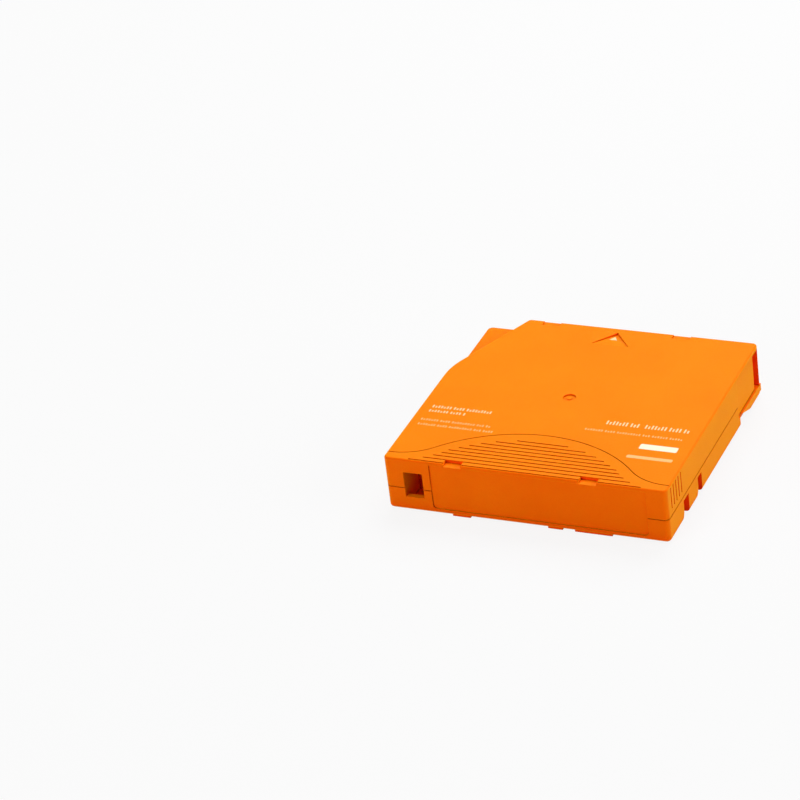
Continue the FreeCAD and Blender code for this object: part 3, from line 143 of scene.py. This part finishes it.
def blend(tree, share, first, second):
    """The colour output of a mix of two colours, each given as a hex value or as an output."""
    colours = [linear(c) if isinstance(c, str) else c for c in (first, second)]
    mix = add_node(tree, "ShaderNodeMix", {0: share, MIX_A: colours[0], MIX_B: colours[1]}, data_type="RGBA")
    return mix.outputs[MIX_COLOUR]


def ramp(tree, value, start, stop, low, high):
    """The output of a straight ramp: start becomes low, stop becomes high, and both ends are held."""
    node = add_node(tree, "ShaderNodeMapRange", {"Value": value, "From Min": start, "From Max": stop,
                                                "To Min": low, "To Max": high})
    return node.outputs["Result"]


print("a mix takes its colours at sockets", MIX_A, "and", MIX_B)

# %% A finish for every moulded piece
FLOW_MARK = 22 * MM
# How far the occlusion node looks for grooves, which turn darker: partly dust, partly painted shade.
GROOVE_REACH = 0.6 * MM
# How far the second occlusion node looks for recesses, which get painted shade in a darker red.
PAINTED_SHADE_REACH = 6 * MM
# Where each mark starts and stops on its ramp, and its share of the colour at both ends.
GRAIN_RAMP = (0.45, 0.7, 0.0, 0.35)
# Paler edges are partly wear, partly a painted highlight.
WEAR_AND_HIGHLIGHT_RAMP = (0.995, 0.8, 0.0, 0.5)
PAINTED_SHADE_RAMP = (0.85, 0.45, 0.0, 1.0)
DUST_AND_SHADE_RAMP = (0.75, 0.3, 0.0, 0.85)
SKIN_LOW, SKIN_HIGH, SKIN_MATT = 0.3, 0.7, 0.07


def moulded_plastic(name, colour, cloud, edge, groove_dust_and_shade, grain, relief, roughness, edge_radius, recess=None,
                    **constants):
    """Moulded plastic: flow clouds, matt grain, paler edges (wear and painted highlight), darker grooves
    (dust and painted shade) and, where given, painted shade in recesses.
    """
    finish, tree, shader, place = start_finish(name, **constants)
    flow = add_node(tree, "ShaderNodeTexNoise", {"Vector": place, "Scale": 1 / FLOW_MARK, "Detail": 3.0})
    skin = add_node(tree, "ShaderNodeTexNoise", {"Vector": place, "Scale": 1 / grain, "Detail": 2.0}).outputs["Fac"]
    soft = add_node(tree, "ShaderNodeBevel", {"Radius": edge_radius}, samples=6).outputs["Normal"]
    flat = add_node(tree, "ShaderNodeNewGeometry").outputs["Normal"]
    turn = add_node(tree, "ShaderNodeVectorMath", {0: soft, 1: flat}, operation="DOT_PRODUCT").outputs["Value"]
    space = add_node(tree, "ShaderNodeAmbientOcclusion", {"Distance": GROOVE_REACH}, samples=6).outputs["AO"]
    tinted = blend(tree, flow.outputs["Fac"], colour, cloud)
    tinted = blend(tree, ramp(tree, skin, *GRAIN_RAMP), tinted, cloud)
    # Paler edges: partly wear, partly a painted highlight.
    tinted = blend(tree, ramp(tree, turn, *WEAR_AND_HIGHLIGHT_RAMP), tinted, edge)
    # Painted shade: recesses are tinted towards the darker red recess colour.
    if recess:
        wide = add_node(tree, "ShaderNodeAmbientOcclusion", {"Distance": PAINTED_SHADE_REACH}, samples=6).outputs["AO"]
        tinted = blend(tree, ramp(tree, wide, *PAINTED_SHADE_RAMP), tinted, recess)
    # Darker grooves: partly dust, partly painted shade.
    tinted = blend(tree, ramp(tree, space, *DUST_AND_SHADE_RAMP), tinted, groove_dust_and_shade)
    matt = ramp(tree, skin, SKIN_LOW, SKIN_HIGH, roughness - SKIN_MATT, roughness + SKIN_MATT)
    bump = add_node(tree, "ShaderNodeBump", {"Height": skin, "Distance": relief, "Normal": soft})
    link_shader(tree, shader, Base_Color=tinted, Roughness=matt, Normal=bump.outputs["Normal"])
    return finish


print("recesses are sought within", round(PAINTED_SHADE_REACH / MM, 1), "mm, grooves within", round(GROOVE_REACH / MM, 1))

# %% The plastics
# Colours of the plastic, its clouds, its paler edges (wear and painted highlight) and its darker grooves
# (dust and painted shade), then grain, relief, roughness and edge.
case_plastic = moulded_plastic(
    "moulded_orange_polycarbonate", CASE_ORANGE, "#f15000", "#fe780c", "#7c0c02",
    # The recess colour is painted shade in the case's recesses.
    0.45 * MM, 0.03 * MM, 0.56, 0.16 * MM, recess="#fc2200",
    IOR=1.58, Specular_IOR_Level=0.06, Specular_Tint=linear("#ffa838"),
    Subsurface_Weight=0.3, Subsurface_Radius=(1.0, 0.12, 0.02), Subsurface_Scale=1.0 * MM,
    Sheen_Weight=0.76, Sheen_Roughness=0.56, Sheen_Tint=linear("#fff208"))
slider_plastic = moulded_plastic(
    "moulded_orange_acetal", "#f05c0a", "#e85406", "#f87420", "#8c0e02",
    0.5 * MM, 0.02 * MM, 0.45, 0.12 * MM, IOR=1.48, Specular_IOR_Level=0.1)
reel_plastic = moulded_plastic(
    "moulded_white_polycarbonate", "#e9e6dd", "#e2ded3", "#f3f1ea", "#8d877a",
    0.5 * MM, 0.02 * MM, 0.34, 0.12 * MM, IOR=1.58, Specular_IOR_Level=0.4)
brake_plastic = moulded_plastic(
    "moulded_grey_acetal", "#7d8286", "#74797d", "#92979b", "#3c3f42",
    0.5 * MM, 0.02 * MM, 0.4, 0.1 * MM, IOR=1.48, Specular_IOR_Level=0.4)
release_plastic = moulded_plastic(
    "moulded_natural_acetal", "#ece8dc", "#e4dfd0", "#f5f2ea", "#8f8a7c",
    0.5 * MM, 0.02 * MM, 0.35, 0.1 * MM, IOR=1.48, Specular_IOR_Level=0.4)
clip_plastic = moulded_plastic(
    "moulded_black_acetal", "#2b2c2e", "#242527", "#3f4144", "#141415",
    0.5 * MM, 0.02 * MM, 0.4, 0.08 * MM, IOR=1.48, Specular_IOR_Level=0.4)
print("plastics:", [finish.name for finish in bpy.data.materials if finish.name.startswith("moulded")])

# %% [markdown]
# ## Steel
# The drive plate is stamped from sheet and lightly brushed round its axis, the springs are drawn wire, the pin
# is turned and ground, and the screws are zinc plated. They are all metals with a streak pattern: noise that is
# stretched along the direction in which the tool ran. Rings round an axis come from the distance to that axis.

# %% Streaks and rings
REEL_AXIS = sum(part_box("drive_plate"), Vector()) / 2
STREAK_DEPTH = 0.004 * MM
RING_DEPTH = 0.006 * MM


def metal_finish(tree, shader, pattern, colour, streak, low, high, depth):
    """Lets one pattern set the colour, the roughness between low and high, and the relief of a metal."""
    bump = add_node(tree, "ShaderNodeBump", {"Height": pattern, "Distance": depth})
    link_shader(tree, shader, Base_Color=blend(tree, pattern, colour, streak),
                Roughness=ramp(tree, pattern, 0.0, 1.0, low, high), Normal=bump.outputs["Normal"])


def streaked_steel(name, colour, streak, stretch, step, roughness):
    """Bright metal with tool streaks: step is their spacing, stretch how much longer they are on each axis."""
    finish, tree, shader, place = start_finish(name, Metallic=1.0)
    shaped = add_node(tree, "ShaderNodeMapping", {"Vector": place, "Scale": stretch})
    lines = add_node(tree, "ShaderNodeTexNoise", {"Vector": shaped.outputs["Vector"], "Scale": 1 / step,
                                                 "Detail": 3.0})
    metal_finish(tree, shader, lines.outputs["Fac"], colour, streak, roughness - 0.08, roughness + 0.1,
                 STREAK_DEPTH)
    return finish


def reel_rings(tree, place, step, detail):
    """Noise in rings round the upright axis of the reel: it reads only the distance to that axis."""
    centred = add_node(tree, "ShaderNodeVectorMath", {0: place, 1: REEL_AXIS}, operation="SUBTRACT")
    level = add_node(tree, "ShaderNodeVectorMath", {0: centred.outputs["Vector"], 1: (1.0, 1.0, 0.0)},
                     operation="MULTIPLY")
    reach = add_node(tree, "ShaderNodeVectorMath", {0: level.outputs["Vector"]}, operation="LENGTH")
    rings = add_node(tree, "ShaderNodeTexNoise", {"W": reach.outputs["Value"], "Scale": 1 / step,
                                                 "Detail": detail}, noise_dimensions="1D")
    return rings.outputs["Fac"]


def ring_brushed_steel(name, colour, streak, step, roughness):
    """Metal brushed in rings round the reel's axis."""
    finish, tree, shader, place = start_finish(name, Metallic=1.0)
    rings = reel_rings(tree, place, step, 4.0)
    metal_finish(tree, shader, rings, colour, streak, roughness - 0.1, roughness + 0.12, RING_DEPTH)
    return finish


print("reel axis in mm:", [round(place / MM, 2) for place in REEL_AXIS])

# %% The metals
drive_steel = ring_brushed_steel("brushed_stainless_steel", "#c9cacb", "#9fa1a3", 0.35 * MM, 0.34)
spring_steel = streaked_steel("drawn_spring_steel", "#b9bcc0", "#8d9196", (1.0, 1.0, 1.0), 0.3 * MM, 0.3)
pin_steel = streaked_steel("ground_steel", "#d2d4d6", "#aeb1b4", (0.1, 0.1, 1.0), 0.2 * MM, 0.24)
screw_steel = streaked_steel("zinc_plated_steel", "#c3c6c4", "#a3a8a0", (1.0, 1.0, 0.4), 0.5 * MM, 0.38)
print("metals:", [finish.name for finish in bpy.data.materials if finish.name.endswith("steel")])

# %% [markdown]
# ## Tape, board and chip
# The wound tape is a dark polyester film. From the side its turns show as fine rings, from the front as a satin
# surface. A single turn is 0.01 mm, so the rings are drawn as bands of 0.3 mm. The memory board is glass cloth
# under a green mask, and its aerial is a flat coil of copper: nested rectangles, drawn by repeating the larger of
# two distances. The chip is potted in black epoxy with a slightly wavy skin.

# %% The wound film
TAPE_BAND = 0.3 * MM
TAPE_RELIEF = 0.01 * MM


def wound_film():
    """Dark polyester film, with rings round the reel's axis where its edges show."""
    finish, tree, shader, place = start_finish("wound_polyester_film", Roughness=0.32, IOR=1.6)
    turns = reel_rings(tree, place, TAPE_BAND, 5.0)
    bump = add_node(tree, "ShaderNodeBump", {"Height": turns, "Distance": TAPE_RELIEF})
    link_shader(tree, shader, Base_Color=blend(tree, turns, "#2a2422", "#4a413c"), Normal=bump.outputs["Normal"])
    return finish


tape_film = wound_film()
print("film:", tape_film.name, "rings every", round(TAPE_BAND / MM, 2), "mm")

# %% The masked board and its potted chip
BOARD_TILT = math.radians(45)
board_low, board_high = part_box("memory_board")
BOARD_MIDDLE = (board_low + board_high) / 2
BOARD_HALF = (board_high.x - board_low.x) / 2
TRACE_STEP = 0.7 * MM
TRACE_REACH = 3.4 * MM
TRACE_RELIEF = 0.03 * MM
CLOTH_STEP = 0.6 * MM


def masked_board():
    """Green solder mask over glass cloth, with the nested loops of a flat copper aerial."""
    finish, tree, shader, place = start_finish("masked_glass_laminate", IOR=1.5)
    centred = add_node(tree, "ShaderNodeVectorMath", {0: place, 1: BOARD_MIDDLE}, operation="SUBTRACT")
    lying = add_node(tree, "ShaderNodeVectorRotate", {"Vector": centred.outputs["Vector"],
                                                     "Angle": -BOARD_TILT}, rotation_type="X_AXIS")
    size = add_node(tree, "ShaderNodeVectorMath", {0: lying.outputs["Vector"]}, operation="ABSOLUTE")
    sides = add_node(tree, "ShaderNodeSeparateXYZ", {"Vector": size.outputs["Vector"]})
    short = add_node(tree, "ShaderNodeMath", {0: sides.outputs["X"], 1: BOARD_HALF - TRACE_REACH - MM},
                     operation="SUBTRACT")
    loop = add_node(tree, "ShaderNodeMath", {0: short.outputs["Value"], 1: sides.outputs["Y"]},
                    operation="MAXIMUM")
    wave = add_node(tree, "ShaderNodeMath", {0: loop.outputs["Value"], 1: TRACE_STEP}, operation="PINGPONG")
    trace = add_node(tree, "ShaderNodeMath", {0: wave.outputs["Value"], 1: TRACE_STEP / 2},
                     operation="GREATER_THAN")
    inside = add_node(tree, "ShaderNodeMath", {0: loop.outputs["Value"], 1: TRACE_REACH}, operation="LESS_THAN")
    copper = add_node(tree, "ShaderNodeMath", {0: trace.outputs["Value"], 1: inside.outputs["Value"]},
                      operation="MULTIPLY").outputs["Value"]
    cloth = add_node(tree, "ShaderNodeTexNoise", {"Vector": place, "Scale": 1 / CLOTH_STEP})
    matt = ramp(tree, cloth.outputs["Fac"], 0.0, 1.0, 0.22, 0.4)
    bump = add_node(tree, "ShaderNodeBump", {"Height": copper, "Distance": TRACE_RELIEF})
    link_shader(tree, shader, Base_Color=blend(tree, copper, "#0f5a3c", "#2f8a5a"), Roughness=matt,
                Normal=bump.outputs["Normal"])
    return finish


board_laminate = masked_board()
chip_epoxy = moulded_plastic(
    "potted_black_epoxy", "#1d1d1f", "#26262a", "#3a3a3e", "#0d0d0e",
    1.2 * MM, 0.04 * MM, 0.28, 0.15 * MM, IOR=1.55, Specular_IOR_Level=0.5)
print("board:", board_laminate.name, "chip:", chip_epoxy.name)

# %% [markdown]
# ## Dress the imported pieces
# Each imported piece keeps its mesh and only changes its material. One table says which finish each piece has, and
# the loop stops if a piece was forgotten.

# %% Give each piece its finish
finish_of = {
    "upper_shell": case_plastic,
    "lower_shell": case_plastic,
    "access_door": case_plastic,
    "write_protect_slider": slider_plastic,
    "reel_hub": reel_plastic,
    "reel_upper_flange": reel_plastic,
    "drive_plate": drive_steel,
    "cleaning_tape_roll": tape_film,
    "tape_end_run": tape_film,
    "brake_button": brake_plastic,
    "release_plate": release_plastic,
    "brake_spring": spring_steel,
    "door_spring": spring_steel,
    "leader_pin": pin_steel,
    "leader_pin_clip": clip_plastic,
    "leader_pin_spring": spring_steel,
    "memory_board": board_laminate,
    "memory_chip": chip_epoxy,
    "case_screws": screw_steel,
}
for name, piece in nodes.items():
    piece.data.materials.clear()
    piece.data.materials.append(finish_of[name])
print("dressed", len(nodes), "packed pieces")

# %% [markdown]
# ## Printed ink
# Two blocks of small print stand on the top of the case. Here they have no words: each row is a run of short
# upright strokes, with a wider gap after every few of them, which looks like print from a distance. A stroke is a
# thin film of pad printing ink. A cube is scaled to a flat tablet, and a bevel on its upright edges rounds the
# corners. The film is sunk a little into the plastic so that no gap shows under it.

# %% The inks
INK_PATCH = 0.5 * MM


def printed_ink(name, colour, thin):
    """Pad printing ink: slightly uneven in colour, with a soft satin surface."""
    finish, tree, shader, place = start_finish(name, Roughness=0.5, IOR=1.5, Specular_IOR_Level=0.2)
    cover = add_node(tree, "ShaderNodeTexNoise", {"Vector": place, "Scale": 1 / INK_PATCH, "Detail": 3.0})
    link_shader(tree, shader, Base_Color=blend(tree, cover.outputs["Fac"], colour, thin))
    return finish


white_ink = printed_ink("pad_printed_white_ink", "#fdf0d8", "#f9e4c0")
cream_ink = printed_ink("pad_printed_cream_ink", "#f8d7a0", "#f5c888")
thin_ink = printed_ink("pad_printed_thin_ink", "#f6bf78", "#f3ad58")
print("inks:", [finish.name for finish in bpy.data.materials if finish.name.endswith("ink")])

# %% A tablet of ink
INK_FILM = 0.03 * MM
INK_SUNK = 0.03 * MM
TOP = case_high.z


def add_tablet(mesh, left, right, near, far):
    """A flat film of ink on the top of the case, between the given sides in millimetres."""
    low, high = Vector((left * MM, near * MM, TOP - INK_SUNK)), Vector((right * MM, far * MM, TOP + INK_FILM))
    sides = Matrix.Diagonal((*(high - low), 1.0))
    bmesh.ops.create_cube(mesh, size=1.0, matrix=Matrix.Translation((low + high) / 2) @ sides)


def round_corners(mesh, radius):
    """Rounds the upright edges of every tablet."""
    upright = [edge for edge in mesh.edges if abs(edge.verts[0].co.z - edge.verts[1].co.z) > INK_FILM / 2]
    bmesh.ops.bevel(mesh, geom=upright, offset=radius, offset_type="OFFSET", affect="EDGES", segments=3,
                    profile=0.5, material=-1)


def finish_piece(mesh, name, finish, body):
    """Turns a bmesh into a named object at the origin that rides on a body."""
    data = bpy.data.meshes.new(name)
    mesh.to_mesh(data)
    mesh.free()
    data.materials.append(finish)
    piece = bpy.data.objects.new(name, data)
    bpy.context.scene.collection.objects.link(piece)
    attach(piece, body)
    print(name, "has", len(data.polygons), "faces")
    return piece


print("ink stands", round(INK_FILM / MM, 3), "mm above the case")

# %% A row of strokes
WORDS = (7, 4, 9, 3, 6)
SHORT_STROKE = 0.72


def add_row(mesh, left, right, middle, height, stroke):
    """One printed row in millimetres: equal strokes, a wider gap after each word, every third one short."""
    start, word, done = left, 0, 0
    while start + stroke <= right:
        rise = height * (SHORT_STROKE if done % 3 == 1 else 1.0)
        add_tablet(mesh, start, start + stroke, middle - height / 2, middle - height / 2 + rise)
        done += 1
        start += 2 * stroke
        if done == WORDS[word % len(WORDS)]:
            start += stroke
            word, done = word + 1, 0


def print_rows(name, ink, stroke, rows):
    """One named piece of print: each row is left end, right end, middle and height in millimetres."""
    mesh = bmesh.new()
    for left, right, middle, height in rows:
        add_row(mesh, left, right, middle, height, stroke)
    round_corners(mesh, stroke / 4 * MM)
    finish_piece(mesh, name, ink, "case")


print("words of", WORDS, "strokes")

# %% The rows at the left
print_rows("print_left_large", cream_ink, 0.55, [(-48.1, -24.0, -15.0, 1.7), (-48.3, -34.0, -18.0, 1.5)])
print_rows("print_left_small", thin_ink, 0.5, [(-49.0, -21.7, -24.0, 1.3), (-48.9, -19.8, -27.2, 1.3)])

# %% The rows at the right
print_rows("print_right_large", cream_ink, 0.6, [(17.4, 30.0, -12.4, 2.4), (31.8, 48.9, -12.4, 2.4)])
print_rows("print_right_small", thin_ink, 0.5, [(11.3, 48.2, -18.1, 1.2)])

# %% The plain fields at the right
FIELD_CORNER = 0.5 * MM


def print_field(name, ink, left, right, near, far):
    """A plain rounded field of ink, in millimetres."""
    mesh = bmesh.new()
    add_tablet(mesh, left, right, near, far)
    round_corners(mesh, FIELD_CORNER)
    finish_piece(mesh, name, ink, "case")


print_field("print_right_field", white_ink, 34.1, 48.0, -26.6, -23.4)
print_field("print_right_band", thin_ink, 31.7, 48.5, -32.9, -31.1)

# %% [markdown]
# ## The insertion arrow
# A small pale triangle lies in the sloping triangular recess near the leading edge. It is a three sided cylinder,
# flattened. Each of its points is then lowered on the recess by a ray cast straight down at the shell, so the film
# follows the slope.

# %% The pale triangle
ARROW_MIDDLE = Vector((-0.3 * MM, 44.1 * MM, 0.0))
ARROW_HALF = 1.5 * MM
ARROW_LENGTH = 2.6 * MM
UNIT_HALF, UNIT_LENGTH = 0.866, 1.5      # half width and length of a triangle in a circle of radius 1

arrow = bmesh.new()
bmesh.ops.create_cone(arrow, cap_ends=True, segments=3, radius1=1.0, radius2=1.0, depth=1.0)
for corner in arrow.verts:
    # The cone's first corner points along +Y, the way the cartridge goes into the drive.
    lift = INK_FILM if corner.co.z > 0 else -INK_SUNK
    spot = ARROW_MIDDLE + Vector((corner.co.x * ARROW_HALF / UNIT_HALF,
                                  corner.co.y * ARROW_LENGTH / UNIT_LENGTH, 0.0))
    seat = nodes["upper_shell"].ray_cast(spot + Vector((0, 0, 2 * TOP)), Vector((0, 0, -1)))[1]
    corner.co = Vector((spot.x, spot.y, seat.z + lift))
bmesh.ops.recalc_face_normals(arrow, faces=arrow.faces)
finish_piece(arrow, "print_arrow", cream_ink, "case")

# %% [markdown]
# ## Copies of the springs
# The door spring gets shorter when the door opens, and the brake spring when the brake is lifted. A imported mesh never
# changes, so each of the two gets a copy with a mesh of its own that stands for it and rides on the case, and the
# packed coil is hidden.


def add_giving_spring(node):
    """A copy of a packed coil, with a mesh of its own, that rides on the case in place of the hidden coil."""
    coil = bmesh.new()
    coil.from_mesh(nodes[node].data)
    spring = finish_piece(coil, node + "_coil", spring_steel, "case")
    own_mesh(spring)
    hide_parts(node)


add_giving_spring("door_spring")
add_giving_spring("brake_spring")

# %% [markdown]
# ## Floor, background and light
# The photograph shows the cartridge cut out on white. The floor is a large pale sheet. To the camera it is mostly
# white of strength 1, mixed with a plain surface that keeps the soft shadow. The world is white to the camera in the
# same way, and only a weak fill to the object. A wide softbox above and behind gives the bright top, a second one at
# the front left lights the label face, and a third lights the right side.

# %% The floor
FLOOR_SIDE = 3.0
FLOOR_DROP = 0.05 * MM
SHADOW_SHARE = 0.12

sheet = bmesh.new()
bmesh.ops.create_grid(sheet, x_segments=1, y_segments=1, size=FLOOR_SIDE / 2,
                      matrix=Matrix.Translation((0.0, 0.0, -FLOOR_DROP)))
floor_mesh = bpy.data.meshes.new("studio_floor")
sheet.to_mesh(floor_mesh)
sheet.free()
floor = bpy.data.objects.new("studio_floor", floor_mesh)
bpy.context.scene.collection.objects.link(floor)
print("floor of", FLOOR_SIDE, "m")


# %% The floor's paper
def seen_directly(tree):
    """1 for rays from the camera, also by a reflection or through glass, and 0 for light that falls on the object."""
    ray = add_node(tree, "ShaderNodeLightPath").outputs
    direct = add_node(tree, "ShaderNodeMath", {0: ray["Is Camera Ray"], 1: ray["Is Glossy Ray"]}, operation="MAXIMUM")
    clear = add_node(tree, "ShaderNodeMath", {0: direct.outputs["Value"], 1: ray["Is Transmission Ray"]},
                     operation="MAXIMUM")
    return clear.outputs["Value"]


paper, paper_tree, paper_shader, _ = start_finish("white_paper", Base_Color=linear("#d0d0d0"), Roughness=0.9,
                                                  Specular_IOR_Level=0.1)
white = add_node(paper_tree, "ShaderNodeEmission", {"Strength": 1.0})
share = add_node(paper_tree, "ShaderNodeMath", {0: seen_directly(paper_tree), 1: 1 - SHADOW_SHARE},
                 operation="MULTIPLY")
paper_mix = add_node(paper_tree, "ShaderNodeMixShader", {0: share.outputs["Value"], 1: paper_shader.outputs["BSDF"],
                                                        2: white.outputs["Emission"]})
paper_tree.links.new(paper_mix.outputs["Shader"], paper_tree.nodes["Material Output"].inputs["Surface"])
floor.data.materials.append(paper)
print("share of the floor that keeps the shadow:", SHADOW_SHARE)

# %% The white world
WORLD_FILL = 0.1

world = bpy.data.worlds.new("white_studio")
world.use_nodes = True
bpy.context.scene.world = world
sky = world.node_tree
backdrop = sky.nodes["Background"]
backdrop.inputs["Color"].default_value = (1.0, 1.0, 1.0, 1.0)
sky.links.new(ramp(sky, seen_directly(sky), 0.0, 1.0, WORLD_FILL, 1.0), backdrop.inputs["Strength"])
print("world fill", WORLD_FILL)


# %% The softboxes
def add_softbox(name, spot, side, watts):
    """A square area lamp that looks at the cartridge."""
    lamp = bpy.data.lights.new(name, "AREA")
    lamp.energy = watts
    lamp.size = side
    holder = bpy.data.objects.new(name, lamp)
    holder.location = spot
    holder.rotation_euler = (-Vector(spot)).to_track_quat("-Z", "Y").to_euler()
    bpy.context.scene.collection.objects.link(holder)


add_softbox("softbox_above", (0.0, 0.8, 1.08), side=1.0, watts=18.0)
add_softbox("softbox_front", (-0.6, -1.2, 0.5), side=1.0, watts=12.0)
add_softbox("softbox_right", (1.3, 0.15, 0.55), side=0.7, watts=11.0)
print("lamps:", [lamp.name for lamp in bpy.data.lights])

# %% [markdown]
# ## Camera
# The camera stands where the photograph was taken from: its direction is given as an angle round the cartridge
# and an angle above the floor, and a small roll, because the picture was tilted when it was cut out.

# %% The camera
CAMERA_SPOT = Vector((435.8, -1009.8, 677.0)) * MM
CAMERA_ROUND = math.radians(26.534)
CAMERA_ABOVE = math.radians(30.485)
CAMERA_ROLL = math.radians(-7.547)
CAMERA_LENS = 161.3

back = Vector((math.sin(CAMERA_ROUND) * math.cos(CAMERA_ABOVE), -math.cos(CAMERA_ROUND) * math.cos(CAMERA_ABOVE),
               math.sin(CAMERA_ABOVE)))
level_right = Vector((math.cos(CAMERA_ROUND), math.sin(CAMERA_ROUND), 0.0))
level_up = back.cross(level_right)
right = math.cos(CAMERA_ROLL) * level_right + math.sin(CAMERA_ROLL) * level_up
up = back.cross(right)
turned = Matrix((right, up, back)).transposed().to_4x4()
lens = bpy.data.cameras.new("studio_camera")
lens.lens = CAMERA_LENS
camera = bpy.data.objects.new("studio_camera", lens)
camera.matrix_world = Matrix.Translation(CAMERA_SPOT) @ turned
bpy.context.scene.collection.objects.link(camera)
bpy.context.scene.camera = camera
bpy.context.scene.view_settings.view_transform = "Standard"
print("camera at", [round(place, 3) for place in CAMERA_SPOT])
